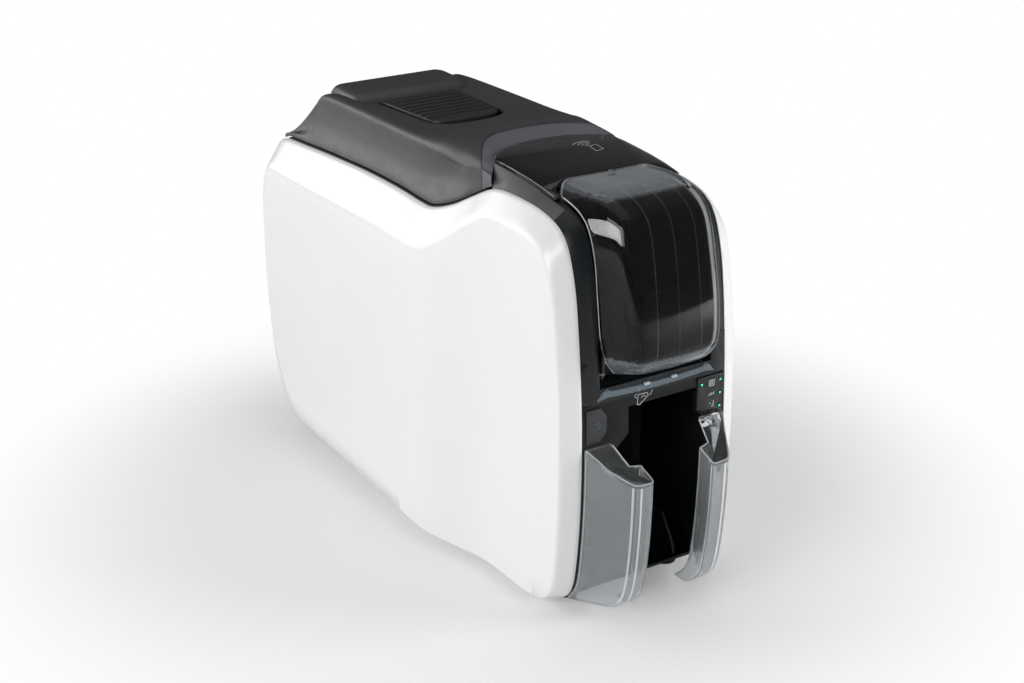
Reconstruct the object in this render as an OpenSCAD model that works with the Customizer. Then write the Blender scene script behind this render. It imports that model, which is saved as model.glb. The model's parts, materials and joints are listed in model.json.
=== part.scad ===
// Compact ID card printer.
// Millimetres, +Z up, +X to the right seen from the front, the front faces -Y.
// Origin: on the floor, in the middle of the width and length.

/* [Body] */
// Width across the widest part of the two side panels
body_w = 157; // [151:1:169]
// Length from the output wings to the back
body_len = 392; // [388:2:420]
// Height to the crown of the top cover
body_h = 266; // [262:1:284]
// Width of the dark nose between the side panels
nose_w = 104; // [102:1:110]
// Wall of the moulded casings
wall = 2.6; // [2:0.1:3]
// Gap left where two casings meet
seam = 0.6; // [0.4:0.1:0.8]
// Height of the rubber feet
foot_h = 4.5; // [3:0.5:5]
// Diameter of each rubber foot
foot_d = 14; // [10:1:16]

/* [Card path] */
// Width of the card
card_w = 54; // [50:0.5:54]
// Diameter of the driven rubber rollers
roller_d = 14; // [12:0.5:14]
// Diameter of the roller shafts
shaft_d = 5; // [4:0.5:6]
// Gear module
gear_m = 1; // [0.8:0.1:1]
// Running clearance of shafts in their bushes, on the radius
run_gap = 0.05; // [0.03:0.01:0.1]

/* [Moving parts] */
// Radius of the feeder door pins
door_pin_r = 1.6; // [1.2:0.1:2]
// Radius of the top cover pins
cover_pin_r = 2.5; // [2:0.1:3]
// Travel of the power button
button_travel = 1.5; // [0.8:0.1:2]

/* [Hidden] */
$fn = 40;

// Size changes: the nose and mechanism keep to the front, the hinge and ports to the back.
dl = (body_len - 392) / 2;
dh = body_h - 266;
function sy(y) = y + dl * min(1, max(-1, y / 85));
function sz(z) = z + dh * min(1, max(0, (z - 178) / 30));
function sp(p) = [sy(p[0]), sz(p[1])];

function mix(a, b, t) = a + (b - a) * t;
function ease(t) = let (c = min(1, max(0, t))) c * c * (3 - 2 * c);
function curve_at(a, b, c, d, t) =
    0.5 * (2 * b + (c - a) * t + (2 * a - 5 * b + 4 * c - d) * t * t
    + (3 * b - a - 3 * c + d) * t * t * t);
function smooth_loop(p, n) = let (m = len(p)) [for (i = [0:m - 1], j = [0:n - 1])
    curve_at(p[(i + m - 1) % m], p[i], p[(i + 1) % m], p[(i + 2) % m], j / n)];
function smooth_path(p, n) = let (m = len(p)) concat([for (i = [0:m - 2], j = [0:n - 1])
    curve_at(p[max(0, i - 1)], p[i], p[i + 1], p[min(m - 1, i + 2)], j / n)], [p[m - 1]]);
function side_step(a, b, d) = let (t = b - a) [t[1], -t[0]] * d / max(0.001, norm(t));
function offset_loop(p, d) = let (m = len(p)) [for (i = [0:m - 1])
    p[i] + side_step(p[(i + m - 1) % m], p[(i + 1) % m], d)];
function offset_path(p, d) = let (m = len(p)) [for (i = [0:m - 1])
    p[i] + side_step(p[max(0, i - 1)], p[min(m - 1, i + 1)], d)];
function arc(c, r, a, b, n) = [for (i = [0:n]) let (t = mix(a, b, i / n)) c + r * [cos(t), sin(t)]];
function rev(p) = [for (i = [len(p) - 1:-1:0]) p[i]];
function flip_x(p) = [for (v = p) [-v[0], v[1]]];

// Plan of the shell: half widths against the length
nose_hw = nose_w / 2;
deck_hw = nose_hw + 10;
body_hw = body_w / 2;
crease_hw = nose_hw + 12;
function rim_x(y) = mix(deck_hw, nose_hw, ease((sy(-14) - y) / 62));
function face_x(y) = mix(body_hw, crease_hw, ease((sy(-14) - y) / 74));

// Side outline of the panel rim, back to front over the top, then underneath
rim_top = [[196, 138], [195, 172], [193.6, 200], [190, 214], [180, 219.5], [150, 221.5],
    [110, 223.5], [60, 225], [20, 224.5], [-5, 223], [-20, 223.5], [-38, 229.5], [-55, 238.5],
    [-70, 246], [-83, 249], [-104, 249.5], [-124, 248], [-141, 243], [-151, 233], [-158, 212],
    [-162, 185], [-165.5, 145], [-166.5, 110]];
rim_under = [[195, 104], [190, 62], [182, 36], [170, 21], [150, 14.5], [110, 12], [60, 9.5],
    [20, 7.5], [-5, 6], [-20, 5], [-38, 4.6], [-55, 4.5], [-70, 4.5], [-83, 4.5], [-104, 4.5],
    [-124, 4.5], [-140, 6], [-151, 11], [-158, 20], [-162, 36], [-165.5, 70]];
// Side outline of the crease where the bevel meets the flat face
crease_top = [[193.5, 138], [192.5, 168], [190, 188], [185, 198], [174, 201.5], [148, 201.5],
    [108, 200.5], [60, 200], [15, 199.5], [-12, 199], [-27, 201], [-42, 209], [-58, 221],
    [-74, 231], [-88, 235.5], [-106, 236], [-124, 235], [-138, 231], [-147, 222], [-153, 202],
    [-156.5, 180], [-160, 145], [-160.5, 110]];
crease_under = [[192.5, 104], [187, 64], [178, 40], [168, 25], [149, 18.5], [108, 15.5],
    [60, 12.5], [15, 10], [-12, 8], [-27, 7], [-42, 6.5], [-58, 6], [-74, 6], [-88, 6], [-106, 6],
    [-124, 6], [-138, 8], [-148, 13], [-153, 22], [-156.5, 38], [-159.5, 70]];
function loop_of(top, under) = smooth_loop([for (p = concat(top, rev(under))) sp(p)], 3);
rim_loop = loop_of(rim_top, rim_under);
crease_loop = loop_of(crease_top, crease_under);
deck_line = smooth_path([for (i = [3:17]) sp(rim_top[i])], 4);
floor_line = smooth_path([for (i = [3:20]) sp(rim_under[i])], 4);
function deck_z(y) = lookup(y, deck_line);
function floor_z(y) = lookup(y, floor_line);

// Plan curves of the arch at the front of the top cover
function arch_back(x) = -24 - dl - 38 * pow(min(1.08, abs(x) / (nose_hw + 1)), 2.6);
function arch_front(x) = -43 - dl - 28 * pow(min(1.08, abs(x) / nose_hw), 2.5);

// Pivots and heights of the mechanism
path_z = 166;
door_axis = [-163.5 - dl, 158.5];
cover_axis = [182 + dl, sz(216)];
latch_axis = [sy(103), sz(253)];
plate_in = 36;
plate_t = 2;
plate_y0 = -92;
seam_z = 141.5;
button_c = [-42, 127.5];
roller_z = path_z - roller_d / 2;
feed_c = [-78, roller_z];
platen_c = [0, roller_z];
rear_c = [62, roller_z];
pick_c = [-112, path_z - 8];
supply_c = [46, 200];
take_up_c = [-42, 200];
gear_x = -(plate_in + plate_t + 1.5);
gear_w = 5;

// ---- shape helpers -------------------------------------------------------------------
// Solid through a list of closed rings; point i of a ring faces point n - 1 - i across the wall
module loft(rings) {
    n = len(rings[0]);
    m = len(rings);
    sides = [for (j = [0:m - 2], i = [0:n - 1]) let (k = (i + 1) % n)
        each [[j * n + i, j * n + k, (j + 1) * n + k], [j * n + i, (j + 1) * n + k, (j + 1) * n + i]]];
    e = (m - 1) * n;
    caps = [for (i = [0:n / 2 - 2]) each [[i + 1, i, n - 1 - i], [i + 1, n - 1 - i, n - 2 - i],
        [e + i, e + i + 1, e + n - 2 - i], [e + i, e + n - 2 - i, e + n - 1 - i]]];
    polyhedron(points = [for (r = rings) each r], faces = concat(sides, caps), convexity = 8);
}
// Outline in Y and Z drawn out along X
module along_x(x0, x1) {
    translate([x0, 0, 0]) rotate([90, 0, 90]) linear_extrude(height = x1 - x0, convexity = 8) children();
}
// Outline in X and Z drawn out along Y
module along_y(y0, y1) {
    translate([0, y1, 0]) rotate([90, 0, 0]) linear_extrude(height = y1 - y0, convexity = 8) children();
}
module box(a, b) { translate(a) cube(b - a); }
module rod_x(c, r, x0, x1) { translate([x0, c[0], c[1]]) rotate([0, 90, 0]) cylinder(r = r, h = x1 - x0); }
module tube_x(c, r, r_in, x0, x1) {
    translate([x0, c[0], c[1]]) rotate([0, 90, 0]) difference() {
        cylinder(r = r, h = x1 - x0);
        translate([0, 0, -1]) cylinder(r = r_in, h = x1 - x0 + 2);
    }
}
module both_sides() {
    children();
    mirror([1, 0, 0]) children();
}
// Plan of the space between the side panels
module core_plan(y0, y1, inset = 0) {
    right = [for (i = [0:24]) let (y = mix(y0, y1, i / 24)) [rim_x(y) - inset, y]];
    polygon(concat(right, rev(flip_x(right))));
}
// Spur gear outline with straight-sided teeth
module gear_2d(teeth, m) {
    r = teeth * m / 2;
    tooth = [[-0.28, -1.15], [-0.11, 0.8], [0.11, 0.8], [0.28, -1.15]];
    polygon([for (i = [0:teeth - 1]) each [for (k = tooth)
        (r + k[1] * m) * [cos((i + k[0]) * 360 / teeth), sin((i + k[0]) * 360 / teeth)]]]);
}
module gear_x_at(c, teeth, m, x0, turn = 0) {
    translate([x0, c[0], c[1]]) rotate([90, 0, 90]) rotate([0, 0, turn])
        linear_extrude(height = gear_w, convexity = 6) gear_2d(teeth, m);
}

// ---- casing --------------------------------------------------------------------------
// Bevelled, waisted side panel: bevel rings, the face between them, and the hollow inside
module side_panel() {
    n = len(rim_loop);
    h = n / 2;
    steps = [[0, 0], [0.05, 0.16], [0.86, 0.87], [1.02, 0.965], [1.2, 1]];
    outer = [for (s = steps) [for (i = [0:n - 1]) let (p = mix(rim_loop[i], crease_loop[i], s[0]))
        [mix(rim_x(p[0]), face_x(p[0]), s[1]), p[0], p[1]]]];
    rim_in = offset_loop(rim_loop, -wall);
    crease_in = offset_loop(crease_loop, -wall * 1.3);
    inner = [[for (p = rim_in) [rim_x(p[0]), p[0], p[1]]],
        [for (p = crease_in) [face_x(p[0]) - wall, p[0], p[1]]]];
    rings = concat(outer, inner);
    strips = [for (s = [[0, 1], [1, 2], [2, 3], [3, 4], [6, 5], [5, 0]], i = [0:n - 1])
        let (k = (i + 1) % n, a = s[0] * n, b = s[1] * n)
        each [[a + i, b + i, b + k], [a + i, b + k, a + k]]];
    face_out = [for (i = [1:h - 2]) let (a = 4 * n)
        each [[a + i, a + n - i, a + n - i - 1], [a + i, a + n - i - 1, a + i + 1]]];
    face_in = [for (i = [1:h - 2]) let (a = 6 * n)
        each [[a + i, a + n - i - 1, a + n - i], [a + i, a + i + 1, a + n - i - 1]]];
    ends = [[4 * n, 5 * n - 1, 4 * n + 1], [4 * n + h - 1, 4 * n + h + 1, 4 * n + h],
        [6 * n, 6 * n + 1, 7 * n - 1], [6 * n + h - 1, 6 * n + h, 6 * n + h + 1]];
    polyhedron(points = [for (r = rings) each r], faces = concat(strips, face_out, face_in, ends),
        convexity = 8);
}
module right_side_panel() { color("white") side_panel(); }
module left_side_panel() { color("white") mirror([1, 0, 0]) side_panel(); }

foot_at = [[-38, -132 - dl], [38, -132 - dl], [-46, 146 + dl], [46, 146 + dl]];
foot_top = foot_h + 0.8;
tray_y0 = -146.8 - dl;
tray_y1 = 174 + dl;
tray_top = 26;
function tray_under(y) = min(tray_top - 1.5, max(foot_h, floor_z(y) + 0.2));
function tray_floor(y) = max(8.5, tray_under(y) + 2.2);
screw_at = [[-50, 112 + dl], [50, 112 + dl], [-40, -66 - dl], [40, -66 - dl], [0, 146 + dl]];
module base_tray() {
    rows = [for (i = [0:32]) mix(tray_y0, tray_y1, i / 32)];
    under = [for (y = rows) [y, tray_under(y)]];
    above = [for (y = rows) [y, tray_floor(y)]];
    color("#1b1d1f") difference() {
        union() {
            intersection() {
                along_x(-80, 80) polygon(concat(under, [[tray_y1, tray_top], [tray_y0, tray_top]]));
                translate([0, 0, -1]) linear_extrude(height = 40) core_plan(tray_y0, tray_y1, 0.15);
            }
            for (f = foot_at) translate([f[0], f[1], foot_h])
                cylinder(d = foot_d + 5, h = tray_floor(f[1]) - foot_h);
        }
        intersection() {
            along_x(-80, 80) polygon(concat(above, [[tray_y1, 60], [tray_y0 - 5, 60], [tray_y0 - 5, 8.5]]));
            linear_extrude(height = 80) core_plan(tray_y0 - 5, tray_y1 - wall, wall);
        }
        for (f = foot_at) translate([f[0], f[1], -1]) cylinder(d = foot_d + 0.6, h = foot_top + 1);
        for (s = screw_at) translate([s[0], s[1], -1]) cylinder(d = 6.6, h = tray_under(s[1]) + 3.6);
        for (i = [0:6], s = [-1, 1]) box([s * 22 - 9, -50 + i * 12, 0], [s * 22 + 9, -46 + i * 12, 14]);
        box([-10, 100 + dl, -1], [10, 104 + dl, 25]);
    }
}
module rubber_feet() {
    color("#101010") for (f = foot_at) translate([f[0], f[1], 0]) difference() {
        cylinder(d = foot_d, h = foot_top);
        translate([0, 0, -0.1]) cylinder(d = foot_d * 0.45, h = 1.1);
    }
}
module casing_screws() {
    color("#55585b") for (s = screw_at) translate([s[0], s[1], tray_under(s[1]) + 0.4]) difference() {
        cylinder(d = 6, h = 2.2);
        translate([0, 0, -1]) cylinder(d = 3, h = 2.2, $fn = 6);
    }
}

// Back wall with a recessed bay for the sockets, vent slots and a lock slot
socket_z = 55;
inlet_c = [-31, socket_z];
usb_c = [2, socket_z];
net_c = [28, socket_z];
bay_y = 184.2 + dl;
module socket_hole(c, w, h) {
    along_y(bay_y - 9, bay_y + 9) translate(c) square([w, h], center = true);
}
module rear_panel() {
    back = [for (p = [[174.6, 26.4], [178, 31.6], [181, 37], [184.4, 46], [189, 62], [191.8, 80], [194, 104],
        [195, 138], [194.2, 172], [192.8, 196], [190.4, 206], [189.4, 211]]) sp(p)];
    front = [for (p = rev(back)) p - [2.6, p[1] < 40 ? 0 : 0.4]];
    color("#1b1d1f") difference() {
        union() {
            along_x(-deck_hw, deck_hw) polygon(concat(back, front));
            along_x(-47, 47) polygon([[bay_y - 2.4, 42], [184 + dl, 46], [188.6 + dl, 62], [189.6 + dl, 68.4],
                [bay_y - 2.4, 68.4]]);
        }
        box([-45, bay_y, 44], [45, bay_y + 20, 66]);
        socket_hole(inlet_c, 14, 12);
        socket_hole(usb_c, 13.4, 12.4);
        socket_hole(net_c, 17.4, 14.4);
        for (i = [0:9]) box([-40, bay_y, 92 + i * 9], [40, bay_y + 20, 96 + i * 9]);
        box([51, bay_y - 8, 50], [54, bay_y + 20, 57]);
        rod_x(cover_axis, 7.5, -70, 70);
    }
}
// Frame the top cover closes on, following the wave of the panel tops
frame_y0 = -67.4 - dl;
module top_frame() {
    top = [for (i = [0:40]) let (y = mix(frame_y0, 185 + dl, i / 40)) [y, deck_z(y) + 0.9]];
    low = [for (p = rev(top)) p - [0, 5]];
    color("#151617") difference() {
        union() {
            intersection() {
                along_x(-80, 80) polygon(concat(top, low));
                translate([0, 0, 150]) linear_extrude(height = 200) core_plan(frame_y0, 185 + dl, 0.15);
            }
            both_sides() box([38.6, 171 + dl, sz(209)], [55.4, 185 + dl, sz(218)]);
            box([-55.4, 180 + dl, sz(208.6)], [55.4, 185 + dl, sz(214)]);
        }
        translate([0, 0, 150]) linear_extrude(height = 200) core_plan(-62 - dl, 171 + dl, 11);
        both_sides() rod_x(cover_axis, 6.4, 44.4, 49.6);
        both_sides() box([44.4, 160 + dl, sz(210)], [49.6, cover_axis[0] + 7, sz(240)]);
        rod_x(cover_axis, cover_pin_r, -53, 53);
        box([-deck_hw - 1, 178.5 + dl, sz(217)], [deck_hw + 1, 190 + dl, sz(240)]);
    }
}

// ---- nose ----------------------------------------------------------------------------
function plate_edge_z(y) = sz(lookup(y + dl, [[-126, 254.3], [-112, 256.9], [-98, 258.7], [-80, 260.2],
    [-62, 261.2], [-40, 261.8]]));
function plate_mid_z(y) = sz(lookup(y + dl, [[-126, 257.4], [-112, 259.8], [-98, 260.9], [-80, 261.6],
    [-62, 262.1], [-40, 262.4]]));
plate_hw = nose_hw - 8;
door_hw = nose_hw - 11.6;
plate_t2 = 2.2;
// Nose outline at the side panels, and along the edge of the top plate and the door
nose_rim = [[-44, 232.8], [-55, 237.9], [-70, 245.4], [-83, 248.5], [-104, 249], [-124, 247.5],
    [-140.8, 242.6], [-150.6, 232.7], [-157.6, 211.8], [-161.6, 184.9], [-164, 163], [-165.3, 141.5]];
nose_edge = [[-44, 259.5], [-55, 259.1], [-70, 258.4], [-83, 257.7], [-104, 255.7], [-124, 252.2],
    [-141, 248.3], [-151.6, 240.6], [-158.6, 222], [-162.6, 194], [-165.6, 166], [-167.4, 141.5]];
module front_bezel() {
    rim = smooth_path([for (p = nose_rim) sp(p)], 3);
    edge = smooth_path([for (p = nose_edge) sp(p)], 3);
    rim_in = offset_path(rim, -wall);
    edge_in = offset_path(edge, -wall);
    rings = [for (i = [0:len(rim) - 1]) [
        [-nose_hw, rim[i][0], rim[i][1]], [-plate_hw - 0.4, edge[i][0], edge[i][1]],
        [plate_hw + 0.4, edge[i][0], edge[i][1]], [nose_hw, rim[i][0], rim[i][1]],
        [nose_hw, rim_in[i][0], rim_in[i][1]], [plate_hw - 1.4, edge_in[i][0], edge_in[i][1]],
        [-plate_hw + 1.4, edge_in[i][0], edge_in[i][1]], [-nose_hw, rim_in[i][0], rim_in[i][1]]]];
    color("#25282b") difference() {
        union() {
            loft(rings);
            both_sides() box([door_hw + 0.4, -164.9 - dl, 146], [nose_hw - 0.6, -154.5 - dl, 166]);
            both_sides() box([door_hw + 0.4, -156 - dl, 160], [nose_hw - 0.2, -128 - dl, 163]);
            box([-nose_hw + 1, -165 - dl, 147.4], [nose_hw - 1, -150.4 - dl, 150.4]);
            box([-nose_hw + 1, -152.6 - dl, 147.4], [nose_hw - 1, -150.4 - dl, 160.1]);
        }
        // mouth behind the feeder door
        along_x(-door_hw, door_hw) polygon([[-127 - dl, sz(290)], [-127 - dl, 200], [-153 - dl, 161],
            [-153 - dl, 150.4], [-190 - dl, 150.4], [-190 - dl, sz(290)]]);
        rod_x(door_axis, 9.2, -door_hw, door_hw);
        rod_x(door_axis, door_pin_r + run_gap, -nose_hw + 3, nose_hw - 3);
        // seat of the light bar
        along_y(-190 - dl, -150 - dl) light_bar_2d(0.15);
        // back edge follows the arch of the cover
        linear_extrude(height = 400) arch_region(-seam, 60);
    }
}
// Everything behind the front curve of the arch, moved back by d
module arch_region(d, back) {
    line = [for (i = [0:24]) let (x = mix(-60, 60, i / 24)) [x, arch_front(x) + d]];
    polygon(concat(line, [[60, back], [-60, back]]));
}
// Plan of the door's top edge with its round corners, d outside it
function door_top_plan(d) = let (hw = door_hw - 0.4) concat([[hw + d, -200]],
    [for (i = [6:-1:0]) [hw - 13 + (13 + d) * sin(i * 15), mix(-125.6, -113, cos(i * 15)) + d]],
    [for (i = [0:6]) [13 - hw - (13 + d) * sin(i * 15), mix(-125.6, -113, cos(i * 15)) + d]],
    [[-hw - d, -200]]);
module front_top_plate() {
    ys = [-40, -52, -64, -76, -88, -100, -112, -126];
    rings = [for (y = ys)
        let (c = max(0.4, (-58 - y) * 0.33), ze = plate_edge_z(y - dl), zm = plate_mid_z(y - dl))
        [[-plate_hw, y - dl, ze], [-plate_hw + c, y - dl, zm], [plate_hw - c, y - dl, zm],
        [plate_hw, y - dl, ze], [plate_hw, y - dl, ze - plate_t2], [-plate_hw, y - dl, ze - plate_t2]]];
    color("#0c0d0e") difference() {
        loft(rings);
        linear_extrude(height = 400) arch_region(-seam, 60);
        translate([0, -dl, 0]) linear_extrude(height = 400) polygon(door_top_plan(0.6));
    }
}

// ---- feeder door ---------------------------------------------------------------------
door_edge = [[-125.6, 254.6], [-136, 252.6], [-145, 249.2], [-153, 242], [-159.3, 226], [-162.6, 203],
    [-165.6, 181], [-167.4, 171], [-168, 165], [-168.4, 161], [-168.6, 158.8]];
door_front = [[-113, 259.8], [-135, 261], [-154, 258.6], [-167.6, 252.6], [-175.6, 243], [-182, 221],
    [-187, 196], [-189.6, 177], [-188.6, 168.6], [-183.6, 161.6], [-173.6, 157.6]];
// How far the round lower corners draw the door's flank in at height z
function door_corner(z) = lookup(z, [[157, 9.4], [161, 6.2], [166, 2.8], [173, 1], [182, 0]]);
// A row across the door: bowed front, short round corners and nearly flat flanks
function door_ring(e, f, hw, crown) = let (n = 6, flank = 10.5, w = hw - door_corner(e[1]))
    [for (i = [-n:n])
    let (a = i * 90 / n, q = mix(e, f, pow(cos(a), 1.48)),
    x = sign(i) * (w - flank + flank * pow(abs(sin(a)), 1.48))) [x, q[0] - (i == 0 ? crown : 0), q[1]]];
function door_shell(step, hw, crown) = let (
    e = offset_path(smooth_path([for (p = door_edge) sp(p)], 2), -step),
    f = offset_path(smooth_path([for (p = door_front) sp(p)], 2), -step))
    [for (i = [0:len(e) - 1]) door_ring(e[i], f[i], hw, crown)];
module feeder_door() {
    out = door_shell(0, door_hw - 0.4, 0.8);
    inn = door_shell(2, door_hw - 2.4, 0.8);
    arm = door_hw - 0.7;
    color([0.35, 0.37, 0.4, 0.45]) difference() {
        union() {
            loft([for (i = [0:len(out) - 1]) concat(out[i], rev(inn[i]))]);
            both_sides() translate([0, -dl, 0]) along_x(arm - 2.2, arm) polygon([[-165.4, 182], [-167.4, 173],
                [-168, 160], [-166, 155.6], [-161.4, 155.6], [-160.4, 160], [-163, 182]]);
            translate([0, -119 - dl, sz(259)]) cylinder(d = 5, h = 2.6);
        }
        rod_x(door_axis, door_pin_r, -60, 60);
    }
}
module feeder_door_pins() {
    color("silver") both_sides() rod_x(door_axis, door_pin_r, door_hw - 2.9, door_hw + 6);
}
// Dark liner inside the clear door with three long flutes
module feeder_door_liner() {
    f = offset_path(smooth_path([for (i = [2:8]) sp(door_front[i])], 3), -3.1);
    g = offset_path(smooth_path([for (i = [2:8]) sp(door_front[i])], 3), -4.7);
    xs = [-27, -16, -14.6, -13.2, -1.4, 0, 1.4, 13.2, 14.6, 16, 27];
    dips = [0, 0, 0.8, 0, 0, 0.8, 0, 0, 0.8, 0, 0];
    color("#08090a") loft([for (i = [0:len(f) - 1]) let (half = 26.6 - door_corner(f[i][1] - 8)) concat(
        [for (k = [0:10]) [max(-half, min(half, xs[k])), f[i][0] + dips[k], f[i][1]]],
        [for (k = [10:-1:0]) [max(-half, min(half, xs[k])), g[i][0] + dips[k], g[i][1]]])]);
}

// ---- lower front ---------------------------------------------------------------------
face_line = [[-151, 11], [-158, 20], [-162, 36], [-165.3, 70], [-166.4, 110], [-165.3, seam_z - seam]];
module face_slab(t) {
    line = smooth_path([for (p = face_line) sp(p)], 4);
    along_x(-nose_hw, nose_hw) polygon(concat(line, rev([for (p = line) p + [t, 0]])));
}
module mouth_2d(d = 0) {
    polygon([[-19 + d, 134], [-19 + d, 117], [-28, 109 + d], [-44 + d, 109 + d], [-44 + d, 15], [44 - d, 15],
        [44 - d, 111 + d], [40, 111 + d], [31 - d, 119], [31 - d, 134]]);
}
module octagon_2d(d = 0) {
    polygon([[-49 - d, 138.2 + d], [-39.4, 138.2 + d], [-35 + d, 132.4], [-35 + d, 122.6],
        [-39.4, 116.8 - d], [-49 - d, 116.8 - d]]);
}
module panel_2d(d = 0) {
    polygon([[31.6 - d, 139.6 + d], [50.6 + d, 139.6 + d], [50.6 + d, 111 - d], [40.6 - d, 111 - d],
        [31.6 - d, 119.4 - d]]);
}
module lower_face() {
    color("#17191b") difference() {
        union() {
            difference() {
                face_slab(3.4);
                along_y(-190 - dl, -140 - dl) mouth_2d();
            }
            box([-nose_hw + 1, -164 - dl, 112.4], [-31, -148.4 - dl, 114.6]);
            both_sides() box([45.4, -163 - dl, 40], [nose_hw, -149 - dl, 100]);
        }
        along_y(-190 - dl, -140 - dl) octagon_2d(0.3);
        along_y(-190 - dl, -163.6 - dl) panel_2d(0.05);
        both_sides() for (z = [44, 84]) box([46.4, -170 - dl, z], [49.4, -150 - dl, z + 7]);
    }
}
module light_bar_2d(d = 0) {
    top = [for (i = [0:12]) let (x = mix(-33, 33, i / 12)) [x, 146.6 + d + 1.2 * (x / 33) * (x / 33)]];
    low = [for (i = [12:-1:0]) let (x = mix(-36, 36, i / 12)) [x, 142.6 - d + 1.4 * (x / 36) * (x / 36)]];
    polygon(concat([[-43 - d, 142.8 - d], [-38.6 - d, 148.2 + d], [-35.4, 149.4 + d]], top,
        [[35.4, 149.4 + d], [38.6 + d, 148.2 + d], [43 + d, 142.8 - d]], low));
}
module light_bar() {
    color([0.55, 0.62, 0.68, 0.8]) along_y(-167.9 - dl, -162.6 - dl) light_bar_2d();
}
module control_panel() {
    color("#0d0e10") difference() {
        along_y(-166.4 - dl, -163.6 - dl) panel_2d();
        for (p = led_at) translate([p[0], -168 - dl, p[1]]) rotate([-90, 0, 0]) cylinder(d = 2, h = 6);
    }
}
led_at = [[34.4, 135], [48.4, 135.6], [48.4, 127], [48.4, 118.4]];
module status_leds() {
    color("#2fd06a") for (p = led_at) translate([p[0], -166.7 - dl, p[1]]) rotate([-90, 0, 0])
        cylinder(d = 2, h = 3.1);
}
module power_button() {
    color("#1d2023") difference() {
        union() {
            along_y(-166.6 - dl, -163.4 - dl) octagon_2d();
            along_y(-163.4 - dl, -162.4 - dl) octagon_2d();
            translate([button_c[0], -162.4 - dl, button_c[1]]) rotate([-90, 0, 0]) cylinder(d = 5, h = 5);
        }
        translate([button_c[0], -166.61 - dl, button_c[1]]) rotate([-90, 0, 0]) difference() {
            cylinder(d = 6.4, h = 0.3);
            translate([0, 0, -1]) cylinder(d = 5, h = 2);
        }
    }
}
module power_button_spring() {
    color("silver") for (i = [0:5]) translate([button_c[0], -161.8 - dl + i * 1.7, button_c[1]])
        rotate([-90, 0, 0]) rotate_extrude() translate([4, 0]) circle(d = 0.7, $fn = 16);
}
module power_switch() {
    color("#2a2a2a") {
        translate([button_c[0], -157.4 + button_travel - dl + 0.2, button_c[1]]) rotate([-90, 0, 0])
            cylinder(d = 3.4, h = 5);
        box([button_c[0] - 6, -154 + button_travel - dl, button_c[1] - 6],
            [button_c[0] + 6, -150 + button_travel - dl, button_c[1] + 6]);
        box([button_c[0] - 7, -150 + button_travel - dl, 114.6],
            [button_c[0] + 7, -148.4 + button_travel - dl, 137]);
    }
}

// Output hopper: floor, side guides and the back wall with the card slot
hop_y1 = -98 - dl;
module hopper_tray() {
    floor_y = [-157, -156.4, -150, hop_y1 + dl];
    floor_top = [15.3, 16.8, 15.8, 11.4];
    under = [[hop_y1 + dl, 8.8], [-136, 8.8], [-140, 9.8], [-146.4, 12.9], [-150.4, 15.3]];
    side = concat([for (z = [16:8:104]) [face_y(z) + 4.4, z]], [[-162, 109], [-146.2, 111.6], [-146.2, 135]]);
    color("#121315") translate([0, -dl, 0]) difference() {
        union() {
            both_sides() along_x(42, 44) polygon(concat([[-150.4, 15.3]], side, [[hop_y1 + dl, 135]],
                [for (i = [0:3]) under[i]]));
            translate([0, dl, 0]) box([-44, hop_y1, 8.8], [44, hop_y1 + 2.4, 135]);
            along_x(-44, 44) polygon(concat([for (i = [0:3]) [floor_y[i], floor_top[i]]], under));
            both_sides() along_x(card_w / 2 + 1.2, card_w / 2 + 3) polygon([[-152, 15.6], [-151, 22],
                [-140, 40], [hop_y1 + dl, 46], [hop_y1 + dl, 11]]);
        }
        translate([0, dl, 0]) box([-31, hop_y1 - 1, 122], [31, hop_y1 + 5, 130]);
    }
}

// Clear wing: slanted flank, front wall and return, closed by a sloping top
wing_plan = [[-50.6, 0], [-50, -1.6], [-36.6, -25.2], [-34.2, -27.8], [-31.6, -28.9], [-24, -29.3],
    [-22.2, -28.9], [-21.3, -27.2], [-21.3, -15.8]];
function wing_top(d) = lookup(d, [[-30, 98.2], [-14.4, 104.6], [-2.4, 113.6], [1, 115]]);
face_curve = [for (p = smooth_path(face_line, 4)) [p[1], p[0]]];
function face_y(z) = lookup(z, concat([[9, -149.6]], face_curve));
function wing_in(z) = lookup(z, [[9, 0.84], [14, 0.93], [26, 0.98], [60, 1]]);
function wing_point(p, z) = [p[0], face_y(z) - 0.5 + min(0, p[1]) * wing_in(z) - dl, z];
module wing() {
    inner = offset_path(wing_plan, -2);
    plan = concat(wing_plan, rev(inner));
    rings = [for (t = [0, 0.05, 0.13, 0.26, 0.46, 0.7, 1])
        [for (p = rev(plan)) wing_point(p, mix(9, wing_top(p[1]), t))]];
    lid = rev(concat(wing_plan, [[-29.6, -14], [-32.4, -1.4], [-33, 0]]));
    color([0.6, 0.65, 0.7, 0.4]) {
        loft(rings);
        loft([for (d = [-2, 0.01]) [for (p = lid) wing_point(p, wing_top(p[1]) + d)]]);
        for (z = [46, 86]) box([-49, -166.2 - dl, z], [-46.8, -160.6 - dl, z + 4]);
    }
}
module left_output_wing() { wing(); }
module right_output_wing() { mirror([1, 0, 0]) wing(); }

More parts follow.
